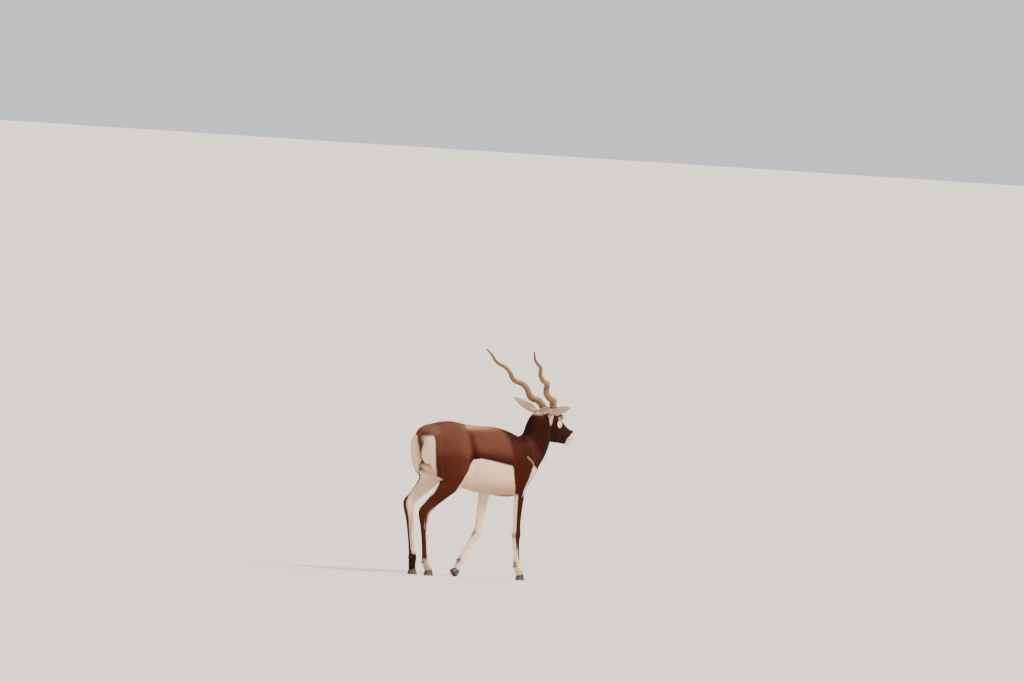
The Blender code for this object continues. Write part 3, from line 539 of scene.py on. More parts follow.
def line_distance(points, line):
    """Distance of points from a line of straight stretches, in as many axes as both have."""
    best = np.full(len(points), 9.0)
    line = np.asarray(line, float)
    for start, end in zip(line[:-1], line[1:]):
        run = end - start
        t = np.clip(((points - start) @ run) / (run @ run), 0, 1)
        best = np.minimum(best, np.linalg.norm(points - start - t[:, None] * run, axis=1))
    return best


# Small forms of the head: centre, radii, height above the skin; a height below 0 is a hollow
HEAD_FORMS = [
    ((0.926, 0.040, 0.8775), (0.020, 0.012, 0.0065), 0.0026),
    ((0.900, 0.030, 0.893), (0.012, 0.012, 0.008), -0.0018),
    ((0.938, 0.043, 0.824), (0.028, 0.012, 0.0065), 0.0028),
    ((0.932, 0.040, 0.800), (0.030, 0.014, 0.013), -0.0024),
    ((0.873, 0.045, 0.790), (0.023, 0.020, 0.028), 0.0032),
    ((0.856, 0.040, 0.760), (0.014, 0.020, 0.013), 0.0022),
    ((0.892, 0.043, 0.866), (0.009, 0.012, 0.010), -0.0022),
    ((0.990, 0.028, 0.797), (0.032, 0.010, 0.010), -0.0022),
    ((0.975, 0.000, 0.845), (0.045, 0.011, 0.012), 0.0012),
    ((1.066, 0.017, 0.778), (0.009, 0.006, 0.008), 0.0022),
    ((1.056, 0.019, 0.7535), (0.018, 0.010, 0.0065), 0.0016),
    ((1.044, 0.000, 0.718), (0.014, 0.014, 0.007), 0.0012),
    ((1.016, 0.000, 0.712), (0.008, 0.016, 0.006), -0.0012),
    ((0.975, 0.022, 0.728), (0.030, 0.008, 0.006), 0.0010),
]

# Lines of the head, on both sides: points, width, height; a height below 0 is a groove
HEAD_LINES = [
    ([(0.948, 0.044, 0.838), (0.968, 0.037, 0.822)], 0.0022, -0.0030),
    ([(0.946, 0.046, 0.845), (0.972, 0.038, 0.829)], 0.0026, 0.0012),
    ([(0.946, 0.045, 0.829), (0.970, 0.037, 0.814)], 0.0026, 0.0011),
    (NOSTRIL_LINE, 0.0023, -0.0062),
    ([(1.0740, 0.0110, 0.7845), (1.0650, 0.0190, 0.7795), (1.0570, 0.0225, 0.7755)], 0.0022, 0.0012),
]

# Lines of the body in side view: least distance from the middle, points, width, height
BODY_LINES = [
    (0.03, [(0.672, 0.745), (0.690, 0.680), (0.702, 0.610)], 0.010, 0.0022),
    (0.04, [(0.603, 0.740), (0.590, 0.640), (0.583, 0.540)], 0.016, -0.0038),
    (0.03, [(0.700, 0.745), (0.748, 0.650), (0.752, 0.570)], 0.011, -0.0028),
    (0.05, [(0.655, 0.640), (0.640, 0.575), (0.612, 0.525)], 0.010, -0.0018),
    (0.05, [(0.085, 0.735), (0.078, 0.630), (0.112, 0.520)], 0.010, -0.0026),
    (0.06, [(0.238, 0.700), (0.226, 0.610), (0.236, 0.530)], 0.012, -0.0020),
    (0.05, [(0.312, 0.640), (0.318, 0.560), (0.330, 0.500)], 0.014, -0.0030),
    (0.04, [(0.300, 0.745), (0.352, 0.735)], 0.026, -0.0045),
]

# Tendons and hollows of the lower legs: leg, bone, points on the straight leg, width, height
LEG_LINES = [
    ("hind", 1, [(0.118, 0.462), (0.060, 0.412), (0.022, 0.384)], 0.0065, -0.0038),
    ("hind", 2, [(0.020, 0.306), (0.022, 0.215), (0.038, 0.115)], 0.0035, -0.0016),
    ("hind", 1, [(0.170, 0.450), (0.110, 0.402), (0.060, 0.365)], 0.0050, -0.0012),
    ("front", 2, [(0.646, 0.215), (0.653, 0.160), (0.661, 0.110)], 0.0032, -0.0015),
    ("front", 1, [(0.640, 0.420), (0.638, 0.350), (0.640, 0.290)], 0.0050, -0.0014),
]


def eye_axes():
    """Directions at the left eye before the turn: towards the nose, up, and out of the head."""
    out = Vector((0.24, 0.96, 0.06)).normalized()
    slant = math.radians(24)
    long = Vector((math.cos(slant), 0.0, -math.sin(slant)))
    long = (long - out * long.dot(out)).normalized()
    up = out.cross(long)
    up = up if up.z > 0 else -up
    return np.array(long), np.array(up), np.array(out)


def lid_outline(along):
    """Upper and lower half height of the eye's opening at a place along it."""
    front, rear = 0.0142, 0.0128
    share = np.clip(np.abs(along) / np.where(along > 0, front, rear), 0, 1)
    bow = (1 - share**2.1) ** 0.8
    return 0.0094 * bow, 0.0080 * bow


def eye_places(place):
    """Along, up, out and distance from the eye's middle, for points of the head before its turn."""
    long, up, out = eye_axes()
    offset = place - np.array(EYE)
    return offset @ long, offset @ up, offset @ out, np.linalg.norm(offset, axis=1)


def lid_share(place):
    """0 at the middle of the eye's opening, 1 at its edge, more beyond it; and above or below."""
    along, up, out, far = eye_places(place)
    scale = EYE_RADIUS / np.maximum(far, 1e-6)
    high, low = lid_outline(along * scale)
    half = np.maximum(np.where(up > 0, high, low), 1e-5)
    ends = np.maximum(np.abs(along * scale) - np.where(along > 0, 0.0142, 0.0128), 0) / 0.006
    share = np.minimum(np.abs(up * scale) / half, 6.0)
    reach = np.hypot(along * scale / 0.0135, up * scale / np.where(up > 0, 0.0094, 0.0080))
    share = np.where(half < 0.0012, np.maximum(reach, 1.0), share) + ends
    return np.where(out > 0, np.minimum(share, 6.0), 6.0), up > 0


def with_lids(place):
    """The skin drawn over the eyeball as two lids, and open between them."""
    along, up, out, far = eye_places(place)
    near = (far < 2.6 * EYE_RADIUS) & (out > -0.3 * EYE_RADIUS)
    share, upper = lid_share(place)
    lid = EYE_RADIUS + 0.0015 + np.where(upper, 0.0005, 0.0)
    lid = lid - 0.0012 * np.exp(-(((share - 1.85) / 0.22) ** 2)) * upper
    lid = lid + 0.0006 * np.exp(-(((share - 1.45) / 0.20) ** 2))
    soft = 0.0018
    raised = 0.5 * (far + lid + np.sqrt((far - lid) ** 2 + soft**2))
    fade = ramp(far, 2.6 * EYE_RADIUS, 1.7 * EYE_RADIUS)
    wanted = far + (raised - far) * fade
    wanted = wanted + (EYE_RADIUS - 0.0035 - wanted) * ramp(share, 1.02, 0.90)
    scale = np.where(near, wanted / np.maximum(far, 1e-6), 1.0)
    return np.array(EYE) + (place - np.array(EYE)) * scale[:, None]


def shaped_head(mesh):
    """Gives the head its small forms, mouth, nostrils and lids."""
    points = points_of(mesh)
    normals = normals_of(mesh)
    ahead = ahead_of_neck(points)
    on_head = ramp(ahead, -0.01, 0.01)
    place = head_place(points)
    lift = np.zeros(len(points))
    for centre, radii, height in HEAD_FORMS:
        gap = (place - np.array(centre)) / np.array(radii)
        lift += height * np.exp(-(gap**2).sum(axis=1))
    for line, width, height in HEAD_LINES:
        lift += height * np.exp(-((line_distance(place, line) / width) ** 2))
    mouth = line_distance(place[:, [0, 2]], LIP_LINE)
    held = ramp(place[:, 0], 0.972, 0.992)
    above = ramp(place[:, 2], 0.736, 0.739)
    lift += held * (0.0011 * np.exp(-(((mouth - 0.0046) / 0.0030) ** 2)) * (0.6 + 0.4 * above))
    lift -= held * 0.0028 * np.exp(-((mouth / 0.0013) ** 2))
    groove = np.abs(place[:, 1]) / 0.0012
    front = ramp(place[:, 0], 1.066, 1.072) * ramp(place[:, 2], 0.775, 0.765) * ramp(place[:, 2], 0.742, 0.748)
    lift -= 0.0012 * np.exp(-(groove**2)) * front
    points = points + normals * (lift * on_head)[:, None]
    straight = swung(points, -HEAD_TURN)
    side = np.where(straight[:, 1] < 0, -1.0, 1.0)
    folded = np.column_stack([straight[:, 0], np.abs(straight[:, 1]), straight[:, 2]])
    lidded = with_lids(folded)
    lidded[:, 1] *= side
    moved = swung(lidded, HEAD_TURN)
    return np.where((ahead > 0)[:, None], moved, points)


def shaped_body(points, normals):
    """Muscle edges, ribs, the hollow of the flank and the tendons of the legs."""
    lift = np.zeros(len(points))
    side_view = points[:, [0, 2]]
    y = points[:, 1]
    level = np.abs(normals[:, 1])
    for least, line, width, height in BODY_LINES:
        fade = ramp(np.abs(y), least, least + 0.02) * ramp(level, 0.25, 0.6)
        lift += height * np.exp(-((line_distance(side_view, line) / width) ** 2)) * fade
    x, z = points[:, 0], points[:, 2]
    slant = x + 0.35 * (z - 0.6)
    ribs = np.cos(2 * math.pi * slant / 0.030)
    on_ribs = ramp(x, 0.33, 0.39) * ramp(x, 0.57, 0.52) * ramp(z, 0.48, 0.54) * ramp(z, 0.72, 0.66)
    lift += 0.0003 * ribs * on_ribs * level
    for leg, (table, rest, stance, side, spread) in LEGS.items():
        for kind, bone, line, width, height in LEG_LINES:
            if not leg.startswith(kind):
                continue
            posed = [tuple(posed_point(p, bone, rest, stance)) for p in line]
            own = (y * side > 0.015) & (level > 0.3)
            near = np.exp(-((line_distance(side_view, posed) / width) ** 2))
            lift += np.where(own, height * near * ramp(level, 0.3, 0.7), 0)
    return points + normals * lift[:, None]


def coat_depth(points):
    """How deep the skin lies under the coat's outer face."""
    on_head = ramp(ahead_of_neck(points), -0.03, 0.03)
    low = ramp(points[:, 2], 0.50, 0.34)
    rearmost_hock = ramp(points[:, 0], -0.004, -0.012) * ramp(points[:, 2], 0.46, 0.43)
    depth = BODY_DEPTH + (FINE_DEPTH - BODY_DEPTH) * np.maximum(on_head, low)
    return depth + HOCK_DEPTH * rearmost_hock


def near_features(middles, reach):
    """Places of the head where the skin needs the finest faces."""
    place = head_place(middles)
    eye = np.linalg.norm(place - np.array(EYE), axis=1) < reach
    muzzle = (place[:, 0] > 1.062 - reach) & (ahead_of_neck(middles) > 0.1)
    return eye | muzzle


def make_skin():
    """Trunk, neck, head and legs as one closed skin, in the drawing frame."""
    parts = [
        outline_loft(rows_with(TRUNK), 48, 6),
        outline_loft(neck_rows(), 48, 6, 0.95),
        outline_loft(rows_with(HEAD, turn=HEAD_TURN), 48, 6, 0.92),
        *[outline_loft(leg_rows(leg), 32, 6) for leg in LEGS],
        *muscle_forms(),
        *head_forms(),
    ]
    skin = mesh_object("skin", *merged(parts))
    remesh = skin.modifiers.new("remesh", "REMESH")
    remesh.mode = "VOXEL"
    remesh.voxel_size = SKIN_VOXEL
    graph = bpy.context.evaluated_depsgraph_get()
    mesh = bpy.data.meshes.new_from_object(skin.evaluated_get(graph))
    skin.modifiers.clear()
    skin.data = mesh
    points = points_of(mesh)
    low = LEG_SHARE + (1 - LEG_SHARE) * ramp(points[:, 2], 0.32, 0.56)
    on_head = ramp(ahead_of_neck(points), -0.03, 0.03)
    weight = np.minimum(low, 1 + (HEAD_SHARE - 1) * on_head)
    edges = edges_of(mesh)
    points = relaxed(points, edges, weight, SKIN_ROUNDS)
    seat = ramp(line_distance(points[:, [0, 2]], NECK_SEAT), 0.050, 0.020) * ramp(points[:, 2], 0.56, 0.60)
    set_points(mesh, relaxed(points, edges, seat, SEAT_ROUNDS))
    split_finer(mesh, lambda middles: ahead_of_neck(middles) > 0.0)
    split_finer(mesh, lambda middles: near_features(middles, 0.034))
    split_finer(mesh, lambda middles: near_features(middles, 0.024))
    points = points_of(mesh)
    set_points(mesh, relaxed(points, edges_of(mesh), ramp(ahead_of_neck(points), -0.01, 0.01), 8))
    set_points(mesh, shaped_head(mesh))
    points = shaped_body(points_of(mesh), normals_of(mesh))
    set_points(mesh, points)
    set_points(mesh, points - normals_of(mesh) * coat_depth(points)[:, None])
    return skin


# Tail and ears, which join the skin


def tail_form():
    rows = [(*row, 0.0, 0.0) for row in TAIL]
    inner = []
    for ax, az, bx, bz, half, y, turn in rows:
        middle, reach = Vector((ax + bx, az + bz)) / 2, Vector((ax - bx, az - bz)) / 2
        reach *= 1 - 0.0022 / max(reach.length, 0.004)
        inner.append((*(middle + reach), *(middle - reach), half - 0.0022, y, turn))
    return outline_loft(inner, 28, 6)


def ear_frame(side):
    """Root, length direction, width direction and the way the cup faces."""
    root = Vector((EAR_ROOT.x, side * EAR_ROOT.y, EAR_ROOT.z))
    run = EAR_RUN[side]
    length = run.normalized()
    facing = Vector((EAR_FACING.x, side * EAR_FACING.y, EAR_FACING.z))
    facing = (facing - length * length.dot(facing)).normalized()
    return root, run, facing.cross(length) * side, facing


def ear_width(t):
    """Half width of the ear as a share, along its length."""
    if t < 0.42:
        return 0.36 + 0.64 * math.sin(math.pi * min(1.0, t / 0.84)) ** 0.8
    return max(0.02, 1 - ((t - 0.42) / 0.58) ** 2.0)


EAR_STATIONS = 44
EAR_ACROSS = 22


def ear_grids(side):
    """Outer and inner faces of an ear, as two grids of points over its length and width."""
    root, run, across, facing = ear_frame(side)
    outer, inner = [], []
    for i in range(EAR_STATIONS + 1):
        t = -0.04 + 1.005 * i / EAR_STATIONS
        held = max(t, 0.0)
        wide = ear_width(held)
        half = (EAR_HALF_WIDTH - 0.0008) * wide
        bow = EAR_CUP * wide * (0.75 - 0.35 * t)
        centre = root + run * t
        wall = EAR_WALL * (1 - 0.55 * held)
        rolled = 0.30 * max(0.0, 1 - held / 0.30)
        outer_row, inner_row = [], []
        for k in range(EAR_ACROSS + 1):
            u = 2 * k / EAR_ACROSS - 1
            bulge = 1 - u * u
            edge_roll = facing * (half * rolled * max(0.0, abs(u) - 0.55) * 2.2)
            narrow = u * (1 - rolled * max(0.0, abs(u) - 0.4))
            ridges = 0.0007 * math.cos(2 * math.pi * 2.5 * u) * math.sin(math.pi * min(1.0, held)) * bulge
            outer_row.append(centre + across * half * narrow - facing * (bow * bulge + wall / 2) + edge_roll)
            inner_row.append(
                centre + across * half * narrow * 0.96 - facing * (bow * bulge - wall / 2 - ridges) + edge_roll
            )
        outer.append(swung(outer_row, HEAD_TURN))
        inner.append(swung(inner_row, HEAD_TURN))
    return np.array(outer), np.array(inner)


def ear_form(side):
    outer, inner = ear_grids(side)
    rings = [np.vstack([a, b[::-1]]) for a, b in zip(outer, inner)]
    points, faces = skin_rings(rings)
    if side < 0:
        faces = [face[::-1] for face in faces]
    return points, faces


# Markings: white, grey, tan and bare shares and the tone of the brown, from place and direction. The tan share and the
# tone also hold painted shade, painted ground light and painted highlights.

# Edge of the white belly along the flank: x and z
FLANK_LINE = [
    (0.180, 0.440), (0.234, 0.522), (0.256, 0.556), (0.282, 0.590), (0.304, 0.626), (0.352, 0.632),
    (0.414, 0.622), (0.480, 0.609), (0.560, 0.594), (0.573, 0.578), (0.586, 0.541), (0.600, 0.497),
    (0.608, 0.444), (0.620, 0.425),
]

# Front edge of the white buttock: z and x
BUTTOCK_LINE = [
    (0.440, 0.045), (0.475, 0.072), (0.508, 0.084), (0.535, 0.073), (0.596, 0.054), (0.666, 0.044), (0.760, 0.040),
]

# Middle and half width of the cleft between the buttocks, where shade is painted as tan and a lighter brown: z and
# half width
CLEFT_SHADE_Y = -0.009
CLEFT_SHADE_LINE = [(0.500, 0.020), (0.560, 0.034), (0.611, 0.030), (0.650, 0.027), (0.690, 0.024), (0.731, 0.018)]

# Rear edge of the white chest: z and x
CHEST_LINE = [(0.430, 0.640), (0.446, 0.646), (0.472, 0.653), (0.525, 0.676), (0.560, 0.689), (0.600, 0.706)]

# The pale seam between shoulder and neck: x and z
SHOULDER_SEAM = [(0.712, 0.592), (0.694, 0.621), (0.668, 0.643)]

# The lighter band in front of the thigh, and the dark one before it: x and z
THIGH_LINE = [(0.262, 0.795), (0.258, 0.720), (0.272, 0.669), (0.268, 0.610)]


def along_line(values, line):
    table = np.array(line)
    return np.interp(values, table[:, 0], table[:, 1])


def body_marks(points, normals):
    """White share, tan share and tone of trunk, neck and legs, with painted shade in the buttock cleft, painted warm
    ground light under the belly, and painted highlights on the loin and on upward-facing coat.
    """
    x, y, z = points.T
    side = np.abs(y)
    side_view = points[:, [0, 2]]
    out = normals[:, 1] * np.sign(y)
    fore, high = normals[:, 0], normals[:, 2]
    drawn_back = x + 0.085 * ramp(y, 0.03, 0.06) * ramp(z, 0.56, 0.43) * ramp(x, 0.40, 0.48)
    white = ramp(along_line(drawn_back, FLANK_LINE) - z, -0.004, 0.005)
    inner = ramp(-out, 0.05, 0.40) * ramp(z, 0.575, 0.535) * ramp(side, 0.085, 0.07)
    rear = ramp(along_line(z, BUTTOCK_LINE) - x, -0.004, 0.005) * ramp(z, 0.756, 0.748) * ramp(z, 0.43, 0.47)
    rear = rear * np.maximum(ramp(y, 0.05, 0.03), ramp(z, 0.515, 0.545))
    behind = drawn_back - along_line(z, CHEST_LINE)
    chest = ramp(behind, -0.003, 0.004) * ramp(z + 0.6 * behind, 0.606, 0.592) * ramp(x, 0.632, 0.642)
    under = ramp(-high, 0.45, 0.75) * ramp(z, 0.56, 0.52)
    fork = ramp(side, 0.055, 0.042) * ramp(z, 0.610, 0.570) * ramp(x, 0.20, 0.16)
    seam = ramp(line_distance(side_view, SHOULDER_SEAM), 0.0042, 0.0015) * ramp(side, 0.045, 0.055)
    white = np.maximum.reduce([white, inner, rear, chest, under, fork, 0.40 * seam])
    # Painted shade in the cleft between the buttocks, below the tail
    cleft = ramp(along_line(z, CLEFT_SHADE_LINE) - np.abs(y - CLEFT_SHADE_Y), -0.008, 0.006) * ramp(x, 0.17, 0.13)
    cleft = cleft * ramp(z, 0.515, 0.560) * ramp(z, 0.735, 0.715) * ramp(x, -0.004, 0.004)

    # Lighter on upward-facing coat: partly the coat's own colour, partly painted top light
    tone = 0.60 - 0.14 * ramp(high, 0.35, 0.95) + 0.12 * ramp(z, 0.70, 0.62)
    tone = tone + 0.04 * ramp(x, 0.26, 0.18) - 0.12 * ramp(x, 0.12, 0.05) * ramp(z, 0.74, 0.77)
    light = line_distance(side_view, THIGH_LINE)
    tone = tone - 0.06 * np.exp(-((light / 0.018) ** 2)) * ramp(z, 0.60, 0.66)
    before = line_distance(side_view, np.array(THIGH_LINE) + (0.040, 0.0))
    tone = tone + 0.20 * np.exp(-((before / 0.022) ** 2)) * ramp(z, 0.785, 0.74)
    shoulder = ramp(x + 0.25 * (z - 0.6), 0.555, 0.615)
    tone = tone + (0.86 - tone) * shoulder
    # Painted highlight: a light peach band along the top of the loin, in front of the hip
    painted_loin_highlight = ramp(x + 0.3 * (0.80 - z), 0.268, 0.292) * ramp(x, 0.56, 0.40) * ramp(z, 0.772, 0.800)
    tone = tone - 0.46 * painted_loin_highlight
    tone = tone + 0.20 * np.exp(-(((z - along_line(x, FLANK_LINE)) / 0.030) ** 2)) * ramp(x, 0.27, 0.32)
    # The cleft's painted shade as a lighter brown and a tan share, and a touch of tan in the loin's painted highlight
    tone = tone - 0.25 * cleft
    tan_and_painted_light = np.maximum(0.12 * painted_loin_highlight + 0.50 * cleft, 0.45 * seam)
    # Painted warm light reflected up from the ground: tan on the white at the bottom of the belly
    painted_belly_bounce = ramp(z, 0.525, 0.455) * ramp(x, 0.24, 0.30) * ramp(x, 0.66, 0.60) * white
    tan_and_painted_light = np.maximum(tan_and_painted_light, 0.55 * painted_belly_bounce)

    hind = ramp(z, 0.485, 0.445) * ramp(x, 0.31, 0.29)
    upper = ramp(z, 0.33, 0.38)
    shank = np.maximum(ramp(out, 0.10, 0.45), ramp(-fore, 0.30, 0.70) * ramp(z, 0.45, 0.42))
    cannon = ramp(0.40 * out - fore, -0.30, 0.40)
    brown = shank * upper + cannon * (1 - upper)
    white_shin = ramp(0.6 * out + 0.8 * fore, 0.45, 0.75) * ramp(z, 0.30, 0.25)
    brown = brown * (1 - white_shin) * (1 - 0.5 * ramp(z, 0.100, 0.075))
    far_foot = ramp(y, 0.0, 0.01) * ramp(z, 0.125, 0.105)
    brown = brown + (1 - brown) * far_foot
    white = white + (1 - brown - white) * hind
    tone = tone + (0.80 + 0.18 * far_foot - tone) * hind
    tan_and_painted_light = tan_and_painted_light - tan_and_painted_light * hind

    front = ramp(z, 0.455, 0.425) * ramp(x, 0.31, 0.33)
    taper = 0.55 * ramp(z, 0.25, 0.11)
    dark = ramp(0.6 * out + 0.8 * fore - taper, -0.02, 0.18) * ramp(z, 0.095, 0.125)
    hidden = ramp(0.8 * out + 0.6 * fore - 0.5 * taper, 0.15, 0.40) * ramp(z, 0.095, 0.125)
    dark = np.where(y > 0, hidden, dark)
    knee = np.exp(-(((z - 0.240) / 0.016) ** 2)) * ramp(-fore, 0.2, 0.7)
    fetlock = np.exp(-(((z - 0.088) / 0.020) ** 2)) * ramp(-fore, 0.1, 0.6)
    dark = np.maximum.reduce([dark, 0.65 * knee, 0.75 * fetlock])
    white = white + (1 - dark - white) * front
    tone = tone + (0.88 - 0.10 * ramp(z, 0.30, 0.15) - tone) * front
    tan_and_painted_light = tan_and_painted_light - tan_and_painted_light * front

    foot = ramp(z, 0.070, 0.045) * (1 - far_foot)
    tan_and_painted_light = np.maximum(tan_and_painted_light, 0.55 * foot)
    return white, tan_and_painted_light, tone


def head_marks(points, normals):
    """White, grey and bare shares and tone of the head."""
    place = head_place(points)
    x, y, z = place.T
    tone = np.full(len(points), 1.0)
    bridge = ramp(normals[:, 2], 0.35, 0.75) * ramp(x, 0.92, 0.96)
    tone = tone - 0.30 * bridge
    crown = ramp(z, 0.868, 0.884)
    tone = tone - 0.25 * crown
    patch = np.hypot((x - 0.9250) / 0.0265, (z - 0.8190) / 0.0225)
    ring = np.hypot((x - 0.9225) / 0.0175, (z - 0.8490) / 0.0130)
    white = np.maximum(ramp(patch, 1.10, 0.90), 0.55 * ramp(ring, 1.10, 0.95)) * ramp(y, 0.018, 0.026)
    lower = ramp(x, 1.006, 1.020) * ramp(z, 0.7375, 0.7350)
    edge = 0.742 + 0.78 * np.maximum(x - 1.020, 0)
    upper = ramp(z, edge + 0.0015, edge - 0.0015) * ramp(x, 1.008, 1.020)
    white = np.maximum.reduce([white, lower, upper])
    nape = ramp(x, 0.872, 0.860) * ramp(z, 0.866, 0.880)
    reach = np.clip((z - 0.800) / 0.065, 0, 1)
    wedge = ramp(np.abs(x - 0.8450), 0.004 + 0.021 * reach, 0.021 * reach - 0.004) * ramp(z, 0.804, 0.814)
    grey = np.maximum(nape * 0.9, wedge * 0.9)
    nostril = line_distance(place, NOSTRIL_LINE)
    bare = ramp(nostril, 0.0052, 0.0036)
    pad = ramp(x, 1.068, 1.072) * ramp(z, 0.764, 0.768) * ramp(z, 0.788, 0.782)
    share, _ = lid_share(place)
    near_eye = ramp(np.linalg.norm(place - np.array(EYE), axis=1), 0.026, 0.022)
    gland = ramp(line_distance(place, HEAD_LINES[0][0]), 0.0036, 0.0024)
    lip = ramp(line_distance(place[:, [0, 2]], LIP_LINE), 0.0019, 0.0010) * ramp(x, 0.982, 0.990)
    bare = np.maximum.reduce([bare, pad, ramp(share, 1.30, 1.16) * near_eye, gland, lip])
    return white, grey, bare, tone


def marks(points, normals, part):
    """The coat's colour shares at each point. Part: 0 body and head, 1 ear outside, 2 ear inside, 3 tail."""
    white, tan_and_painted_light, tone = body_marks(points, normals)
    head_white, head_grey, head_bare, head_tone = head_marks(points, normals)
    on_head = ramp(ahead_of_neck(points), -0.015, 0.015)
    neck = ramp(points[:, 0] + 0.9 * (points[:, 2] - 0.70), 0.715, 0.765) * (1 - on_head)
    tone = np.maximum(tone, 0.95 * neck)
    white = white + (head_white - white) * on_head
    nape = ramp(head_place(points)[:, 2], 0.862, 0.880) * (1 - on_head) * 0.85
    grey = nape + (head_grey - nape) * on_head
    bare = head_bare * on_head
    tone = tone + (head_tone - tone) * on_head
    tan_and_painted_light = tan_and_painted_light * (1 - on_head)
    ear_out, ear_in, tail = part == 1, part == 2, part == 3
    white = np.where(ear_out, 0.55, np.where(ear_in, 0.90, np.where(tail, 0.0, white)))
    grey = np.where(ear_out, 0.70, np.where(ear_in, 0.30, np.where(tail, 0.0, grey)))
    bare = np.where(part > 0, 0.0, bare)
    tan_and_painted_light = np.where(tail, 0.10, np.where(part > 0, 0.0, tan_and_painted_light))
    tone = np.where(tail, 0.70, tone)
    return {"white": white, "grey": grey, "tan_and_painted_light": tan_and_painted_light, "bare": bare, "tone": np.clip(tone, 0, 1)}


# Lie, length and closeness of the coat


def hang_of(points):
    """1 where the hair runs down, 0 where it runs level along the back."""
    x, _, z = points.T
    low = ramp(z, 0.56, 0.42)
    rump = ramp(x, 0.10, 0.02)
    neck = ramp(x + 0.9 * (z - 0.70), 0.66, 0.80)
    return np.maximum.reduce([low, 0.85 * rump, 0.7 * neck])


def lie_of(points, normals, part):
    """The way the hair points, in the plane of the skin."""
    x, y, z = points.T
    count = len(points)
    hang = hang_of(points)
    way = np.column_stack([-(1 - 0.92 * hang), np.zeros(count), -0.10 - 0.25 * ramp(z, 0.80, 0.60) - 0.85 * hang])
    place = head_place(points)
    jaw = ramp(place[:, 2], 0.80, 0.74)
    face = np.column_stack([-np.ones(count), np.zeros(count), 0.45 - 0.80 * jaw])
    face = face * np.array([math.cos(HEAD_TURN), 1, 1]) + np.column_stack(
        [np.zeros(count), -np.ones(count) * math.sin(HEAD_TURN), np.zeros(count)]
    )
    on_head = ramp(ahead_of_neck(points), -0.02, 0.03)[:, None]
    way = way * (1 - on_head) + face * on_head
    for side in (-1, 1):
        root, run, across, facing = ear_frame(side)
        own = (part > 0) & (part < 3) & (np.sign(swung(points, -HEAD_TURN)[:, 1]) == side)
        tip = np.array(turned(root + run) - turned(root))
        way[own] = tip
    way[part == 3] = (0.12, 0.0, -1.0)
    way = way - normals * (way * normals).sum(axis=1)[:, None]
    return unit(way)


def length_of(points, part):
    """Length of the tufts, shortest on the face and feet."""
    x, y, z = points.T
    length = np.full(len(points), 0.0100)
    length += 0.0030 * ramp(x, 0.08, 0.02) * ramp(z, 0.45, 0.50)
    length += 0.0025 * ramp(x, 0.68, 0.74) * ramp(z, 0.66, 0.58)
    length += 0.0012 * ramp(z, 0.50, 0.45)
    leg = ramp(z, 0.47, 0.36)
    length = length + (0.0052 - length) * leg
    length = length - 0.0010 * ramp(z, 0.25, 0.12) + 0.0022 * ramp(z, 0.052, 0.034)
    place = head_place(points)
    face = 0.0060 - 0.0028 * ramp(place[:, 0], 0.90, 1.03)
    near_eye = ramp(np.linalg.norm(place - np.array(EYE), axis=1), 0.034, 0.022)
    face = face - 0.0018 * near_eye
    on_head = ramp(ahead_of_neck(points), -0.01, 0.05)
    length = length + (np.maximum(face, 0.0026) - length) * on_head
    ear_tip = ramp(np.abs(swung(points, -HEAD_TURN)[:, 1]), 0.165, 0.195)
    length = np.where(part == 1, 0.0048 - 0.0022 * ear_tip, np.where(part == 2, 0.0095 - 0.0070 * ear_tip, length))
    tail = 0.012 + 0.018 * ramp(z, 0.70, 0.645)
    return np.where(part == 3, tail, length)


def width_of(length):
    return 0.0006 + 0.055 * length


# How many layers of tufts cover the skin
COVER_BODY = 1.55
COVER_FINE = 1.15


def closeness_of(points, part):
    """Tufts to a square metre."""
    length = length_of(points, part)
    fine = ramp(length, 0.0085, 0.0055)
    cover = COVER_BODY + (COVER_FINE - COVER_BODY) * fine
    return cover / (0.62 * length * width_of(length))


def hairless(points, normals, part):
    """Where no tuft grows: eye opening, nostrils, mouth, under the horns and inside the ear roots."""
    place = head_place(points)
    ahead = ahead_of_neck(points) > 0
    share, _ = lid_share(place)
    near_eye = np.linalg.norm(place - np.array(EYE), axis=1) < 0.026
    horn = np.linalg.norm(place - np.array(HORN_BASE), axis=1) < 0.0175
    nostril = line_distance(place, NOSTRIL_LINE) < 0.0042
    gland = line_distance(place, HEAD_LINES[0][0]) < 0.0026
    lip = (line_distance(place[:, [0, 2]], LIP_LINE) < 0.0011) & (place[:, 0] > 0.984)
    pad = (place[:, 0] > 1.070) & (place[:, 2] > 0.766) & (place[:, 2] < 0.785)
    on_head = ahead & ((near_eye & (share < 1.28)) | horn | nostril | lip | pad | gland)
    root = np.abs(np.linalg.norm(place - np.array(EAR_ROOT), axis=1)) < 0.012
    return (on_head & (part == 0)) | (root & (part > 0) & (part < 3))


# Pieces of the coat: each has its own unwrap of the skin's shape, as shares of a square


def unwrap_trunk(points):
    x, y, z = points.T
    middle = np.interp(x, [0.0, 0.2, 0.5, 0.8], [0.70, 0.67, 0.61, 0.64])
    angle = np.arctan2(np.abs(y), z - middle) / math.pi
    return (x + 0.03) / 0.84, angle


def unwrap_neck(points):
    nape, throat = Vector((0.77, 0.0, 0.84)), Vector((0.70, 0.0, 0.60))
    run = np.array(nape - throat)
    offset = points - np.array(throat)
    share = offset @ run / (run @ run)
    offset = offset - share[:, None] * run
    forward = np.array([-run[2], 0.0, run[0]]) / np.linalg.norm(run)
    angle = np.arctan2(offset[:, 1], offset @ forward) / (2 * math.pi) + 0.5
    return (share + 0.5) / 1.9, angle


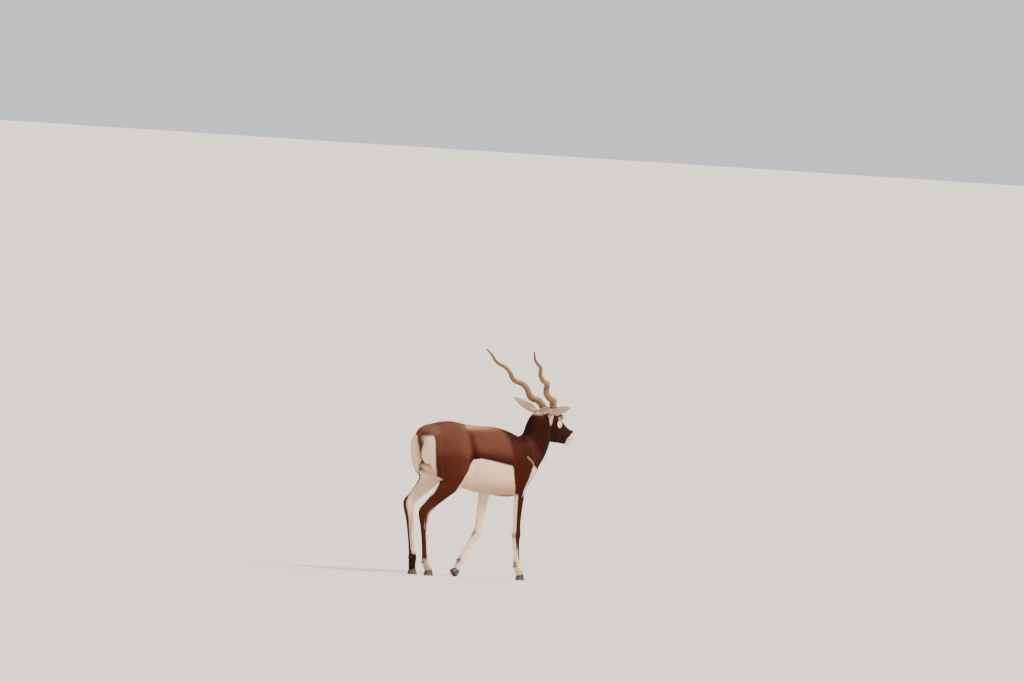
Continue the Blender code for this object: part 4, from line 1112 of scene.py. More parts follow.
def unwrap_head(points):
    place = swung(points, -HEAD_TURN)
    angle = np.arctan2(np.abs(place[:, 1]), place[:, 2] - np.interp(place[:, 0], [0.8, 1.08], [0.82, 0.75]))
    half = np.where(place[:, 1] < 0, 0.0, 0.5)
    return (place[:, 0] - 0.77) / 0.33, half + 0.48 * angle / math.pi


def unwrap_leg(leg):
    rows = leg_rows(leg)

    def unwrap(points):
        x, y = axis_at(rows, points[:, 2])
        angle = np.arctan2(points[:, 1] - y, points[:, 0] - x) / (2 * math.pi) + 0.5
        return points[:, 2] / 0.52, angle

    return unwrap


def unwrap_ears(points):
    """Ears in two rows by side, the tail in a fifth."""
    place = swung(points, -HEAD_TURN)
    tail = points[:, 0] < 0.3
    side = np.where(place[:, 1] < 0, -1, 1)
    share, face = np.zeros(len(points)), np.zeros(len(points))
    for number in (-1, 1):
        root, run, across, facing = ear_frame(number)
        own = side == number
        offset = place[own] - np.array(root)
        share[own] = offset @ np.array(run) / run.length_squared
        face[own] = offset @ np.array(across) / EAR_HALF_WIDTH * 0.5 + 0.5
    band = 0.4 * (side + 1) / 2
    v = band + 0.38 * np.clip(face, 0, 1)
    tail_angle = np.arctan2(points[:, 1], points[:, 0]) / (2 * math.pi) + 0.5
    u = np.where(tail, (points[:, 2] - 0.62) / 0.2, share)
    return u, np.where(tail, 0.82 + 0.16 * tail_angle, v)


def coat_piece(name, roots, normals, part, unwrap, material, seed):
    """One piece of the coat: a tuft of three faces from each root, bent along the lie of the hair."""
    draw = np.random.default_rng(seed)
    count = len(roots)
    way = lie_of(roots, normals, part)
    across = np.cross(normals, way)
    swerve = draw.normal(0.0, 0.16, count)[:, None]
    way = unit(way + across * swerve)
    across = np.cross(normals, way)
    length = (length_of(roots, part) * draw.uniform(0.72, 1.18, count))[:, None]
    width = width_of(length) * draw.uniform(0.75, 1.2, count)[:, None]
    lift = draw.uniform(0.09, 0.24, count)[:, None]
    lift = np.where((part == 2)[:, None], lift + 0.25, lift)
    sunk = normals * 0.0004
    middle = roots + way * length * 0.5 + normals * (length * lift * 0.62)
    tip = roots + way * length + normals * (length * lift) + across * draw.normal(0, 0.06, count)[:, None] * length
    points = np.stack(
        [
            roots - sunk - across * width / 2,
            roots - sunk + across * width / 2,
            middle - across * width * 0.42,
            middle + across * width * 0.42,
            tip,
        ],
        axis=1,
    ).reshape(-1, 3)
    start = np.arange(count)[:, None, None] * 5
    faces = (start + np.array([[0, 3, 1], [0, 2, 3], [2, 4, 3]])).reshape(-1, 3)
    obj = mesh_object(name, points, faces)
    mesh = obj.data
    shares = marks(roots, normals, part)
    for key in ("white", "grey", "tan_and_painted_light", "bare", "tone"):
        set_value(mesh, key, np.repeat(shares[key], 5))
    set_value(mesh, "fleck", np.repeat(draw.uniform(0, 1, count), 5))
    set_value(mesh, "along", np.tile([0.0, 0.0, 0.5, 0.5, 1.0], count))
    tilt = unit(normals + across * draw.normal(0, 0.10, count)[:, None] + way * 0.12)
    mesh.shade_smooth()
    mesh.normals_split_custom_set_from_vertices(np.repeat(tilt, 5, axis=0))
    u, v = unwrap(roots)
    patch = 0.003
    corner_u = np.array([0.0, 1.0, 0.1, 0.9, 0.5]) * patch
    corner_v = np.array([0.0, 0.0, 0.5, 0.5, 1.0]) * patch
    each_u = (0.01 + 0.97 * np.clip(u, 0, 1))[:, None] + corner_u
    each_v = (0.01 + 0.97 * np.clip(v, 0, 1))[:, None] + corner_v
    at_points = np.stack([each_u, each_v], axis=2).reshape(-1, 2)
    layer = mesh.uv_layers.new(name="OFBake")
    layer.data.foreach_set("uv", at_points[faces.ravel()].astype(np.float32).ravel())
    return placed(obj, material, smooth=False)


def roots_on(mesh, seed):
    """Places spread over the skin as close as the coat wants them: point, normal and part."""
    draw = np.random.default_rng(seed)
    points, normals = points_of(mesh), normals_of(mesh)
    part = np.empty(len(mesh.vertices), np.float32)
    mesh.attributes["part"].data.foreach_get("value", part)
    mesh.calc_loop_triangles()
    corners = np.empty(len(mesh.loop_triangles) * 3, np.int64)
    mesh.loop_triangles.foreach_get("vertices", corners)
    corners = corners.reshape(-1, 3)
    a, b, c = (points[corners[:, k]] for k in range(3))
    area = np.linalg.norm(np.cross(b - a, c - a), axis=1) / 2
    middle = (a + b + c) / 3
    face_part = np.round(part[corners].max(axis=1)).astype(int)
    wanted = np.cumsum(area * closeness_of(middle, face_part)) + draw.uniform()
    picks = np.diff(np.concatenate([[0], np.floor(wanted)])).astype(int)
    face = np.repeat(np.arange(len(area)), picks)
    r, s = draw.uniform(size=(2, len(face)))
    r = np.sqrt(r)
    weights = np.column_stack([1 - r, r * (1 - s), r * s])
    chosen = corners[face]
    place = (points[chosen] * weights[:, :, None]).sum(axis=1)
    normal = unit((normals[chosen] * weights[:, :, None]).sum(axis=1))
    own = face_part[face]
    kept = ~hairless(place, normal, own)
    return place[kept], normal[kept], own[kept]


def leg_of(points):
    """Which leg each low point belongs to, as an index into LEGS, or -1 above the legs."""
    x, y, z = points.T
    hind = (x < 0.31) & (z < 0.50 - 0.35 * ramp(np.abs(y), 0.03, 0.01))
    front = (x >= 0.31) & (z < 0.43)
    names = list(LEGS)
    found = np.full(len(points), -1)
    for kind, low in (("front", front), ("hind", hind)):
        for word, right in (("right", True), ("left", False)):
            found[low & ((y < 0) == right)] = names.index(f"{kind}_{word}")
    return found


def make_coat(skin, material):
    roots, normals, part = roots_on(skin.data, seed=11)
    leg = np.where(part == 0, leg_of(roots), -1)
    ahead = ahead_of_neck(roots)
    body = (part == 0) & (leg < 0)
    head = body & (ahead > 0)
    neck_line = (roots[:, 0] - 0.668) * 0.867 + (roots[:, 2] - 0.800) * 0.498
    neck = body & ~head & (neck_line > 0)
    trunk = body & ~head & ~neck
    left, fore = roots[:, 1] >= 0, roots[:, 0] >= 0.34
    groups = [
        ("coat_rump_left", trunk & left & ~fore, unwrap_trunk, "dark_coat"),
        ("coat_rump_right", trunk & ~left & ~fore, unwrap_trunk, "dark_coat"),
        ("coat_side_left", trunk & left & fore, unwrap_trunk, "dark_coat"),
        ("coat_side_right", trunk & ~left & fore, unwrap_trunk, "dark_coat"),
        ("coat_neck", neck, unwrap_neck, "dark_coat"),
        ("coat_head", head, unwrap_head, "dark_coat"),
        ("coat_ears_and_tail", part > 0, unwrap_ears, "pale_coat"),
    ]
    for number, name in enumerate(LEGS):
        groups.append((f"coat_{name}_leg", leg == number, unwrap_leg(name), "pale_coat"))
    for number, (name, own, unwrap, slot) in enumerate(groups):
        coat_piece(name, roots[own], normals[own], part[own], unwrap, material, 20 + number)
        print(name, int(own.sum()), "tufts")


# Horns, eyes and hooves


def horn_centre(t, side):
    """A point of the horn's middle line, in the head before its turn. The right horn winds
    left-handed and the left horn right-handed."""
    run = Vector((HORN_RUN.x, side * HORN_RUN.y, HORN_RUN.z))
    axis = run.normalized()
    outward = Vector((0, side, 0))
    outward = (outward - axis * axis.dot(outward)).normalized()
    round_way = axis.cross(outward)
    base = Vector((HORN_BASE.x, side * HORN_BASE.y, HORN_BASE.z))
    grow = min(1.0, max(0.0, t) / 0.12)
    grow = grow * grow * (3 - 2 * grow)
    wide = HORN_SPIRAL * grow * (1 - 0.62 * max(0.0, t) ** 1.5)
    phase = HORN_PHASE + 2 * math.pi * HORN_TURNS * t
    return base + run * t + wide * (math.cos(phase) * outward + side * math.sin(phase) * round_way)


HORN_RINGS = 30
HORN_RING_RISE = 0.0019
HORN_STATIONS = 460
HORN_SIDES = 44


def make_horn(name, side, material, node):
    """A horn along its spiral, with uneven raised rings that die out before the smooth tip."""
    draw = np.random.default_rng(40 + side)
    ring_high = draw.uniform(0.65, 1.15, HORN_RINGS + 2)
    ring_way = draw.uniform(0, 2 * math.pi, HORN_RINGS + 2)
    first = -HORN_SUNK / HORN_RUN.length
    angles = 2 * math.pi * np.arange(HORN_SIDES) / HORN_SIDES
    across = Vector((1, 0, 0))
    rings, ridge, along = [], [], []
    for t in np.linspace(first, 0.998, HORN_STATIONS).tolist():
        ahead = (horn_centre(t + 0.004, side) - horn_centre(t - 0.004, side)).normalized()
        across = (across - ahead * ahead.dot(across)).normalized()
        other = ahead.cross(across)
        held = max(0.0, t)
        number = HORN_RINGS * (max(0.0, t - 0.012) / 0.84) ** 1.05
        low = min(int(number), HORN_RINGS)
        near = number - low
        after = min(low + 1, HORN_RINGS + 1)
        rise = np.zeros(HORN_SIDES)
        for index, gap in ((low, near), (after, 1 - near)):
            uneven = ring_high[index] * (0.82 + 0.18 * np.cos(angles - ring_way[index]))
            sharp = 0.20 if gap == near else 0.30
            rise = np.maximum(rise, uneven * math.exp(-((gap / sharp) ** 2)))
        fade = ramp(t, 0.90, 0.66) * ramp(t, 0.004, 0.022)
        radius = HORN_TIP_RADIUS + (HORN_RADIUS - HORN_TIP_RADIUS) * (1 - held) ** HORN_TAPER
        grain = 0.00012 * np.sin(angles * 11 + 3 * t) + 0.00010 * np.sin(angles * 19 - 5 * t)
        shape = radius - 0.0004 * fade + rise * fade * HORN_RING_RISE * (0.45 + 0.55 * (1 - held))
        shape = (shape + grain * ramp(t, 1.0, 0.9)) * (0.62 + 0.38 * ramp(t, first, 0.012))
        if t > 0.985:
            shape = shape * math.sqrt(max(0.02, 1 - ((t - 0.985) / 0.0145) ** 2))
        centre = np.array(horn_centre(t, side))
        ring = centre + np.outer(shape * np.cos(angles), across) + np.outer(shape * np.sin(angles), other)
        rings.append(swung(ring, HEAD_TURN))
        ridge.append(rise * fade)
        along.append(np.full(HORN_SIDES, held))
    points, faces = skin_rings(rings)
    obj = mesh_object(name, points, faces)
    set_value(obj.data, "ridge", np.concatenate(ridge))
    set_value(obj.data, "along", np.concatenate(along))
    set_value(obj.data, "around", np.tile(np.cos(angles), HORN_STATIONS))
    set_value(obj.data, "about", np.tile(np.sin(angles), HORN_STATIONS))
    return placed(obj, material, [node])


def eye_point(side, along, up, out):
    """A point by its distances at one eye, in the drawing frame."""
    long, high, away = eye_axes()
    local = np.array(EYE) + along * long + up * high + out * away
    return turned((local[0], side * local[1], local[2]))


def make_eye(name, side, material, node):
    """The eyeball, a little flatter behind, with the clear bulge of the cornea in front."""
    long, high, away = eye_axes()
    sides, levels = 64, 40
    rings, iris, pupil = [], [], []
    for j in range(levels):
        polar = math.pi * (j + 0.35) / levels
        out = math.cos(polar)
        wide = math.sin(polar)
        radius = EYE_RADIUS - 0.0006 + 0.0006 * math.exp(-((polar / 0.55) ** 2))
        ring = []
        for k in range(sides):
            angle = 2 * math.pi * k / sides
            a, b = wide * math.cos(angle), wide * math.sin(angle)
            ring.append(eye_point(side, radius * a, radius * b, radius * out))
            iris.append(float(ramp(polar, 0.92, 0.78)))
            pupil.append(float(ramp(math.hypot(a / 0.52, b / 0.26), 1.1, 0.85)) * (out > 0))
        rings.append(ring)
    points, faces = skin_rings(rings)
    if side < 0:
        faces = [face[::-1] for face in faces]
    obj = mesh_object(name, points, faces)
    set_value(obj.data, "iris", iris)
    set_value(obj.data, "pupil", pupil)
    return placed(obj, material, [node])


def lid_path(count):
    """The edge of the eye's opening as along, up pairs."""
    turns = np.linspace(0, 2 * math.pi, count, endpoint=False)
    along = np.where(np.cos(turns) > 0, 0.0142, 0.0128) * np.cos(turns)
    high, low = lid_outline(along)
    return along, np.where(np.sin(turns) > 0, high, -low)


def make_lid_rim(name, side, material):
    """The bare dark edge of both lids as a fine round bead on the eyeball, with lashes above."""
    count, around = 96, 10
    along, up = lid_path(count)
    reach = EYE_RADIUS + 0.0002
    out = np.sqrt(np.maximum(reach**2 - along**2 - up**2, (0.25 * reach) ** 2))
    middle = np.column_stack([along, up, out])
    middle = middle / np.linalg.norm(middle, axis=1)[:, None] * reach
    rings = []
    for i in range(count):
        ahead = unit((middle[(i + 1) % count] - middle[i - 1])[None])[0]
        outward = middle[i] / reach
        aside = np.cross(ahead, outward)
        ring = []
        for k in range(around):
            angle = 2 * math.pi * k / around
            spot = middle[i] + 0.0010 * (math.cos(angle) * outward + math.sin(angle) * aside)
            ring.append(tuple(eye_point(side, *spot)))
        rings.append(ring)
    points = [p for ring in rings for p in ring]
    faces = []
    for r in range(count):
        for k in range(around):
            a, b = r * around + k, r * around + (k + 1) % around
            after = ((r + 1) % count) * around
            faces.append((a, b, after + b % around, after + a % around))
    draw = np.random.default_rng(60 + side)
    for i in range(2, count // 2 - 2):
        for _ in range(2):
            start = middle[i] * (1 + 0.0004 / reach)
            lean = draw.uniform(-0.25, 0.25)
            size = draw.uniform(0.0055, 0.0085)
            outward = middle[i] / reach
            aim = outward * 0.9 + np.array([lean, 0.25, 0.0])
            bend = start + aim * size * 0.5
            end = start + aim * size + np.array([0.0, 0.0022, 0.0])
            across = np.array([0.00022, 0.0, 0.0])
            base = len(points)
            for spot in (start - across, start + across, bend - across * 0.7, bend + across * 0.7, end):
                points.append(tuple(eye_point(side, *spot)))
            faces += [(base, base + 1, base + 3, base + 2), (base + 2, base + 3, base + 4)]
    obj = mesh_object(name, points, faces)
    return placed(obj, material)


HOOF_LEVELS = 22
HOOF_SIDES = 40
HOOF_REACH = 0.010
CLEFT = 0.0009

# Dew claws: half the space between the two of a foot, top, run down, radius and steps
DEW_CLAW_ASIDE = 0.0085
DEW_CLAW_TOP = Vector((0.0075, 0.008))
DEW_CLAW_RUN = Vector((-0.0050, -0.0150))
DEW_CLAW_RADIUS = 0.0049
DEW_CLAW_STEPS = 9


def hoof_place(leg, place, across):
    """A point of a hoof drawn on the straight leg, carried to where the foot stands."""
    table, rest, stance, side, spread = LEGS[leg]
    y = table[-2][-1]
    moved = bone_map(place, 4, rest, stance)
    centre_y = side_y(y, max(0.0, stance[5][1]) + 0.03, side, spread)
    return (moved.x, centre_y + across, max(0.0, moved.y))


def claw_form(leg, outer):
    """One claw: a pointed wedge with a sloped front wall, round outside and straight at the cleft."""
    table, rest, stance, side, spread = LEGS[leg]
    _, ax, az, bx, bz, half, y = table[-2]
    front, rear = Vector((ax, az)), Vector((bx, bz))
    toe = Vector((rest[5][0] + HOOF_REACH, 0.0))
    heel = Vector((rear.x - 0.006, 0.0))
    sense = side if outer else -side
    rings = []
    for level in range(HOOF_LEVELS + 1):
        share = level / HOOF_LEVELS
        ahead = front.lerp(toe, share)
        behind = rear.lerp(heel, share)
        growth = 0.00022 * math.sin(share * math.pi * 13) * (1 - share * 0.5)
        edge = 1 - 0.10 * max(0.0, share - 0.93) / 0.07
        wide = half * (0.90 + 0.22 * share) * edge + growth
        ring = []
        for k in range(HOOF_SIDES):
            angle = 2 * math.pi * k / HOOF_SIDES
            c, s = math.cos(angle), math.sin(angle)
            along = math.copysign(abs(c) ** 0.85, c)
            taper = 1.0 - 0.62 * share * max(0.0, along) ** 1.8 - 0.20 * max(0.0, along) ** 2
            place = behind.lerp(ahead, 0.5 + 0.5 * along * edge)
            if share > 0.93:
                place.y = max(place.y, 0.0)
            bow = max(0.0, s) ** 0.75 if s > 0 else 0.0
            across = CLEFT + 0.0016 * share * max(0.0, along) + wide * taper * bow
            inward = 0.0004 * (1 - abs(along)) if s <= 0 else 0.0
            ring.append(hoof_place(leg, place, sense * (across - inward)))
        rings.append(ring)
    return skin_rings(rings)


def dew_claw_forms(leg):
    """The two small horny claws behind a fetlock."""
    table, rest, stance, side, spread = LEGS[leg]
    rear, y = next((Vector(row[3:5]), row[6]) for row in table if row[0] == 2.5)
    made = []
    for sense in (-1, 1):
        rings = []
        for step in range(DEW_CLAW_STEPS):
            share = step / (DEW_CLAW_STEPS - 1)
            radius = DEW_CLAW_RADIUS * math.sqrt(max(0.04, 1 - share**2.2))
            centre = rear + DEW_CLAW_TOP + DEW_CLAW_RUN * share
            ring = []
            for k in range(16):
                angle = 2 * math.pi * k / 16
                place = centre + Vector((radius * math.cos(angle), radius * 0.5 * math.cos(angle)))
                moved = posed_point(place, 2.5, rest, stance)
                across = sense * DEW_CLAW_ASIDE + radius * math.sin(angle)
                ring.append((moved.x, side_y(y, moved.y, side, spread) + across, moved.y))
            rings.append(ring)
        made.append(skin_rings(rings))
    return made


def make_hooves(material):
    for leg in LEGS:
        for outer, word in ((True, "outer"), (False, "inner")):
            obj = mesh_object(f"claw_{leg}_{word}", *claw_form(leg, outer))
            face_outwards(obj.data)
            placed(obj, material, [f"{leg}_hoof_{word}"])
        obj = mesh_object(f"dew_claws_{leg}", *merged(dew_claw_forms(leg)))
        face_outwards(obj.data)
        placed(obj, material)


def face_outwards(mesh):
    form = bmesh.new()
    form.from_mesh(mesh)
    bmesh.ops.recalc_face_normals(form, faces=form.faces)
    form.to_mesh(mesh)
    form.free()


# Materials


def linear(hexcode):
    """An sRGB hex colour as linear red, green, blue and alpha."""
    parts = [int(hexcode[i : i + 2], 16) / 255 for i in (1, 3, 5)]
    bent = [c / 12.92 if c <= 0.04045 else ((c + 0.055) / 1.055) ** 2.4 for c in parts]
    return (*bent, 1.0)


def add(tree, kind, inputs=None, **settings):
    """Adds a node, sets its properties, and gives its inputs a value or a link each."""
    made = tree.nodes.new(kind)
    for name, value in settings.items():
        setattr(made, name, value)
    for name, value in (inputs or {}).items():
        socket = made.inputs[name]
        if isinstance(value, bpy.types.NodeSocket):
            tree.links.new(value, socket)
        else:
            socket.default_value = value
    return made


# Sockets of the Mix node in its colour form
MIX_FACTOR, MIX_A, MIX_B, MIX_RESULT = 0, 6, 7, 2


def new_material(name, roughness, ior, **constants):
    """A material with its constants set on the shader's own sockets."""
    material = bpy.data.materials.new(name)
    material.use_nodes = True
    tree = material.node_tree
    shader = tree.nodes["Principled BSDF"]
    shader.inputs["Roughness"].default_value = roughness
    shader.inputs["IOR"].default_value = ior
    shader.inputs["Metallic"].default_value = 0.0
    for socket, value in constants.items():
        shader.inputs[socket.replace("_", " ")].default_value = value
    return material, tree, shader


def colour_ramp(tree, factor, stops):
    made = add(tree, "ShaderNodeValToRGB", {"Fac": factor})
    elements = made.color_ramp.elements
    for place, hexcode in stops[2:]:
        elements.new(place)
    for element, (place, hexcode) in zip(elements, sorted(stops)):
        element.position = place
        element.color = linear(hexcode)
    return made.outputs["Color"]


def mixed(tree, factor, first, second, blend="MIX"):
    inputs = {MIX_FACTOR: factor, MIX_A: first, MIX_B: second}
    return add(tree, "ShaderNodeMix", inputs, data_type="RGBA", blend_type=blend).outputs[MIX_RESULT]


# Coat colours, from sunburnt brown to almost black
COAT_STOPS = [(0.0, "#dba685"), (0.30, "#9d6c57"), (0.55, "#704233"), (0.78, "#491c0b"), (1.0, "#280702")]
WHITE_HAIR = "#fddfc4"
GREY_HAIR = "#e4bfa6"
# Tan hair; the same colour also paints shade in the buttock cleft, warm light reflected from the ground under the
# belly, and part of the loin's highlight
TAN_HAIR_AND_PAINTED_LIGHT = "#b98350"
BARE_SKIN = "#17100e"


def coat_colour(tree, fleck, spread):
    """The coat's colour from its shares, lighter and darker by the fleck from 0 to 1."""
    share = {
        key: add(tree, "ShaderNodeAttribute", attribute_name=key).outputs["Fac"]
        for key in ("white", "grey", "tan_and_painted_light", "tone")
    }
    brown = colour_ramp(tree, share["tone"], COAT_STOPS)
    colour = mixed(tree, share["white"], brown, linear(WHITE_HAIR))
    colour = mixed(tree, share["grey"], colour, linear(GREY_HAIR))
    # The tan share: tan hair, and painted shade, painted ground light and a painted highlight
    colour = mixed(tree, share["tan_and_painted_light"], colour, linear(TAN_HAIR_AND_PAINTED_LIGHT))
    value = add(tree, "ShaderNodeMapRange", {"Value": fleck, "To Min": 1 - spread, "To Max": 1 + spread})
    return add(tree, "ShaderNodeHueSaturation", {"Color": colour, "Value": value.outputs["Result"]}).outputs["Color"]


def guard_hair():
    """Guard hair: short, close, glossy hair grown in a smooth lie. Each tuft is a little lighter
    or darker than the next, darker at its root as painted shade from the tufts lying over it,
    and lighter at its tip."""
    material, tree, shader = new_material(
        "guard_hair", 0.60, 1.55, Specular_IOR_Level=0.09
    )
    fleck = add(tree, "ShaderNodeAttribute", attribute_name="fleck").outputs["Fac"]
    along = add(tree, "ShaderNodeAttribute", attribute_name="along").outputs["Fac"]
    colour = coat_colour(tree, fleck, 0.14)
    # Painted shade at the root of each tuft, under the tufts lying over it, and a lighter tip
    value = add(tree, "ShaderNodeMapRange", {"Value": along, "To Min": 0.80, "To Max": 1.08})
    colour = add(tree, "ShaderNodeHueSaturation", {"Color": colour, "Value": value.outputs["Result"]})
    tree.links.new(colour.outputs["Color"], shader.inputs["Base Color"])
    return material


def haired_skin():
    """Skin under and between the tufts: the same markings, with the coat's finest hairs as
    streaks 0.7 mm apart along the lie, and bare dark skin at eyes, nose and lips."""
    material, tree, shader = new_material("haired_skin", 0.60, 1.45, Specular_IOR_Level=0.12)
    place = add(tree, "ShaderNodeTexCoord").outputs["Object"]
    hang = add(tree, "ShaderNodeAttribute", attribute_name="hang").outputs["Fac"]
    streaks = []
    for scale in ((120, 1400, 1400), (1400, 1400, 120)):
        turned_place = add(tree, "ShaderNodeMapping", {"Vector": place, "Scale": scale})
        noise = {"Vector": turned_place.outputs["Vector"], "Scale": 1.0, "Detail": 2.0}
        streaks.append(add(tree, "ShaderNodeTexNoise", noise).outputs["Fac"])
    streak = add(tree, "ShaderNodeMix", {0: hang, 2: streaks[0], 3: streaks[1]}, data_type="FLOAT").outputs[0]
    colour = coat_colour(tree, streak, 0.22)
    bare = add(tree, "ShaderNodeAttribute", attribute_name="bare").outputs["Fac"]
    colour = mixed(tree, bare, colour, linear(BARE_SKIN))
    tree.links.new(colour, shader.inputs["Base Color"])
    smooth = add(tree, "ShaderNodeMapRange", {"Value": bare, "To Min": 0.62, "To Max": 0.42})
    tree.links.new(smooth.outputs["Result"], shader.inputs["Roughness"])
    bump = add(tree, "ShaderNodeBump", {"Height": streak, "Strength": 0.35, "Distance": 0.0006})
    tree.links.new(bump.outputs["Normal"], shader.inputs["Normal"])
    return material


def ringed_horn():
    """Horn keratin, grown in rings: darker in the hollows, worn pale on the rings, dark at the base
    and at the tip, with fine streaks along it 1 mm apart."""
    material, tree, shader = new_material("ringed_horn", 0.48, 1.54)
    read = {
        key: add(tree, "ShaderNodeAttribute", attribute_name=key).outputs["Fac"]
        for key in ("ridge", "along", "around", "about")
    }
    place = add(tree, "ShaderNodeCombineXYZ", {0: read["around"], 1: read["about"], 2: read["along"]})
    streak_map = add(tree, "ShaderNodeMapping", {"Vector": place.outputs[0], "Scale": (16, 16, 9)})
    streak = add(tree, "ShaderNodeTexNoise", {"Vector": streak_map.outputs[0], "Scale": 1.0, "Detail": 4.0})
    patch_map = add(tree, "ShaderNodeMapping", {"Vector": place.outputs[0], "Scale": (1.2, 1.2, 14)})
    patch = add(tree, "ShaderNodeTexNoise", {"Vector": patch_map.outputs[0], "Scale": 1.0, "Detail": 2.0})
    body = colour_ramp(tree, read["along"], [(0.0, "#3a2618"), (0.14, "#6a472a"), (0.72, "#74502d"), (1.0, "#2a1c14")])
    body = mixed(tree, patch.outputs["Fac"], body, linear("#8a6338"))
    worn = add(tree, "ShaderNodeMapRange", {"Value": read["ridge"], "From Min": 0.25, "To Max": 0.75})
    colour = mixed(tree, worn.outputs["Result"], body, linear("#a67d4b"))
    dark = add(tree, "ShaderNodeMapRange", {"Value": streak.outputs["Fac"], "From Min": 0.42, "From Max": 0.62})
    dark_share = add(tree, "ShaderNodeMath", {0: dark.outputs["Result"], 1: 0.45}, operation="MULTIPLY")
    colour = mixed(tree, dark_share.outputs[0], colour, linear("#37241a"))
    tree.links.new(colour, shader.inputs["Base Color"])
    bump = add(tree, "ShaderNodeBump", {"Height": streak.outputs["Fac"], "Strength": 0.5, "Distance": 0.0006})
    tree.links.new(bump.outputs["Normal"], shader.inputs["Normal"])
    return material


def wet_eye():
    """The eye: a dark brown iris, almost black, round a level pupil, under a clear wet surface."""
    material, tree, shader = new_material(
        "wet_eye", 0.12, 1.38, Specular_IOR_Level=0.25, Coat_Weight=0.45, Coat_Roughness=0.03
    )
    iris = add(tree, "ShaderNodeAttribute", attribute_name="iris").outputs["Fac"]
    pupil = add(tree, "ShaderNodeAttribute", attribute_name="pupil").outputs["Fac"]
    colour = mixed(tree, iris, linear("#1a110d"), linear("#2b160c"))
    colour = mixed(tree, pupil, colour, linear("#050303"))
    tree.links.new(colour, shader.inputs["Base Color"])
    return material


def lid_skin():
    """The bare edge of the lids: black skin, moist, so a little glossy."""
    material, tree, shader = new_material("lid_skin", 0.35, 1.42)
    place = add(tree, "ShaderNodeTexCoord").outputs["Object"]
    noise = add(tree, "ShaderNodeTexNoise", {"Vector": place, "Scale": 900.0})
    colour = mixed(tree, noise.outputs["Fac"], linear("#120c0a"), linear("#241a16"))
    tree.links.new(colour, shader.inputs["Base Color"])
    return material


def hoof_horn():
    """Hoof keratin: black, in growth rings 2 mm apart, dusty and scuffed towards the ground."""
    material, tree, shader = new_material("hoof_horn", 0.50, 1.54)
    place = add(tree, "ShaderNodeTexCoord").outputs["Object"]
    ring_map = add(tree, "ShaderNodeMapping", {"Vector": place, "Scale": (30, 30, 500)})
    rings = add(tree, "ShaderNodeTexNoise", {"Vector": ring_map.outputs[0], "Scale": 1.0, "Detail": 3.0})
    height = add(tree, "ShaderNodeSeparateXYZ", {0: place}).outputs["Z"]
    dust = add(tree, "ShaderNodeMapRange", {"Value": height, "From Min": 0.018, "From Max": 0.0, "To Max": 0.55})
    colour = mixed(tree, rings.outputs["Fac"], linear("#1b1512"), linear("#3a2c24"))
    colour = mixed(tree, dust.outputs["Result"], colour, linear("#6b523c"))
    tree.links.new(colour, shader.inputs["Base Color"])
    bump = add(tree, "ShaderNodeBump", {"Height": rings.outputs["Fac"], "Strength": 0.5, "Distance": 0.0005})
    tree.links.new(bump.outputs["Normal"], shader.inputs["Normal"])
    return material


def studio_floor():
    """The floor: matt paper, pale and even, with a faint mottle so that it isn't dead flat."""
    material, tree, shader = new_material("studio_paper", 0.85, 1.45)
    place = add(tree, "ShaderNodeTexCoord").outputs["Object"]
    noise = add(tree, "ShaderNodeTexNoise", {"Vector": place, "Scale": 0.6})
    colour = mixed(tree, noise.outputs["Fac"], linear("#dcd8d2"), linear("#e2ded8"))
    tree.links.new(colour, shader.inputs["Base Color"])
    return material


# Floor, light and camera


def make_studio():
    lines = (-4000.0, -15.0, 15.0, 4000.0)
    corners = [(x, y, 0.0) for y in lines for x in lines]
    squares = [(r + c, r + c + 1, r + c + 5, r + c + 4) for r in (0, 4, 8) for c in range(3)]
    floor = mesh_object("studio_floor", corners, squares)
    floor.data.materials.append(studio_floor())
    world = bpy.data.worlds.new("studio_air")
    bpy.context.scene.world = world
    world.use_nodes = True
    background = world.node_tree.nodes["Background"]
    background.inputs["Color"].default_value = linear("#eceef2")
    background.inputs["Strength"].default_value = 1.0
    for name, way, strength, spread, hexcode in (
        ("key_light", (0.33, -0.81, 0.80), 5.0, 14.0, "#fff1de"),
        ("rim_light", (0.94, -0.05, 0.62), 2.2, 14.0, "#ffeccf"),
        ("fill_light", (-0.85, -0.35, 0.55), 0.7, 30.0, "#eef3ff"),
    ):
        lamp = bpy.data.lights.new(name, "SUN")
        lamp.energy = strength
        lamp.angle = math.radians(spread)
        lamp.color = linear(hexcode)[:3]
        obj = bpy.data.objects.new(name, lamp)
        obj.rotation_euler = Vector(way).to_track_quat("Z", "Y").to_euler()
        bpy.context.scene.collection.objects.link(obj)


# Where the photograph was taken from: the way it looks, its tilt, distance and middle
CAMERA_LEVEL = Vector((0.6, 0.8, 0.0))
CAMERA_DOWN = math.radians(0.45)
CAMERA_ROLL = math.radians(3.7)
CAMERA_LENS = 900.0
CAMERA_FAR = 137.64
CAMERA_MIDDLE = Vector((0.552, -0.039, 1.283))


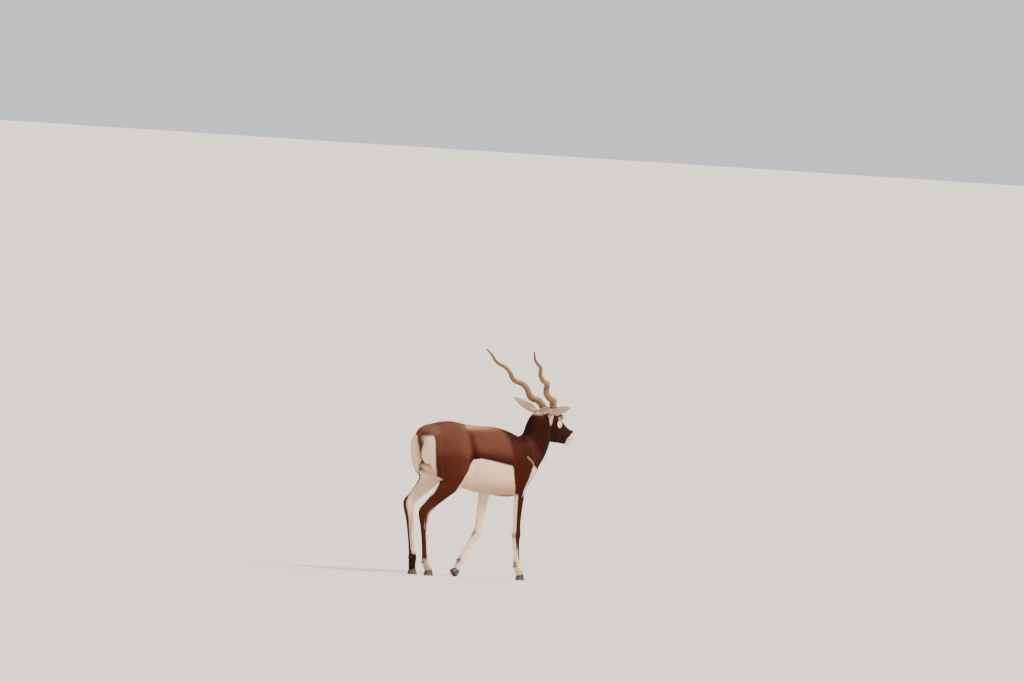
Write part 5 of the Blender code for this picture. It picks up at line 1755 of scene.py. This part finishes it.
def make_camera():
    forward = CAMERA_LEVEL * math.cos(CAMERA_DOWN) - Vector((0, 0, math.sin(CAMERA_DOWN)))
    upright = Vector((0, 0, math.cos(CAMERA_DOWN))) + CAMERA_LEVEL * math.sin(CAMERA_DOWN)
    level = forward.cross(upright).normalized()
    right = level * math.cos(CAMERA_ROLL) + upright * math.sin(CAMERA_ROLL)
    up = upright * math.cos(CAMERA_ROLL) - level * math.sin(CAMERA_ROLL)
    data = bpy.data.cameras.new("camera")
    data.lens = CAMERA_LENS
    data.sensor_width = 36.0
    data.clip_end = 4500.0
    camera = bpy.data.objects.new("camera", data)
    place = CAMERA_MIDDLE + SHIFT - forward * CAMERA_FAR
    turn = Matrix((right, up, -forward)).transposed()
    camera.matrix_world = Matrix.Translation(place) @ turn.to_4x4()
    bpy.context.scene.collection.objects.link(camera)
    bpy.context.scene.camera = camera


# The whole model


def join_forms(skin, forms):
    """Adds the ears and the tail to the skin's mesh and says which part each point is of."""
    mesh = skin.data
    counts = [len(mesh.vertices)]
    form = bmesh.new()
    form.from_mesh(mesh)
    for points, faces in forms:
        piece = bpy.data.meshes.new("form")
        piece.from_pydata([tuple(p) for p in points], [], faces)
        form.from_mesh(piece)
        counts.append(len(points))
        bpy.data.meshes.remove(piece)
    form.to_mesh(mesh)
    form.free()
    return counts


def part_numbers(counts):
    """0 for the body and head, 1 and 2 for the outside and inside of the ears, 3 for the tail."""
    body, ear_left, ear_right, tail = counts
    row = EAR_ACROSS + 1
    ear = np.tile(np.repeat([1, 2], row), EAR_STATIONS + 1)
    return np.concatenate([np.zeros(body), ear, ear, np.full(tail, 3)])


def main():
    skin = make_skin()
    counts = join_forms(skin, [ear_form(1), ear_form(-1), tail_form()])
    mesh = skin.data
    part = part_numbers(counts)
    set_value(mesh, "part", part)
    points, normals = points_of(mesh), normals_of(mesh)
    for key, values in marks(points, normals, part).items():
        set_value(mesh, key, values)
    set_value(mesh, "hang", hang_of(points))
    make_coat(skin, guard_hair())
    flesh = ["torso", "neck", "head", "tail", "ear_left", "ear_right", *[f"{leg}_leg" for leg in LEGS]]
    placed(skin, haired_skin(), flesh)
    horn, eye, lid = ringed_horn(), wet_eye(), lid_skin()
    for side, word in ((1, "left"), (-1, "right")):
        make_horn(f"ringed_horn_{word}", side, horn, f"horn_{word}")
        make_eye(f"eyeball_{word}", side, eye, f"eye_{word}")
        make_lid_rim(f"lid_rim_{word}", side, lid)
    make_hooves(hoof_horn())
    make_studio()
    make_camera()


main()
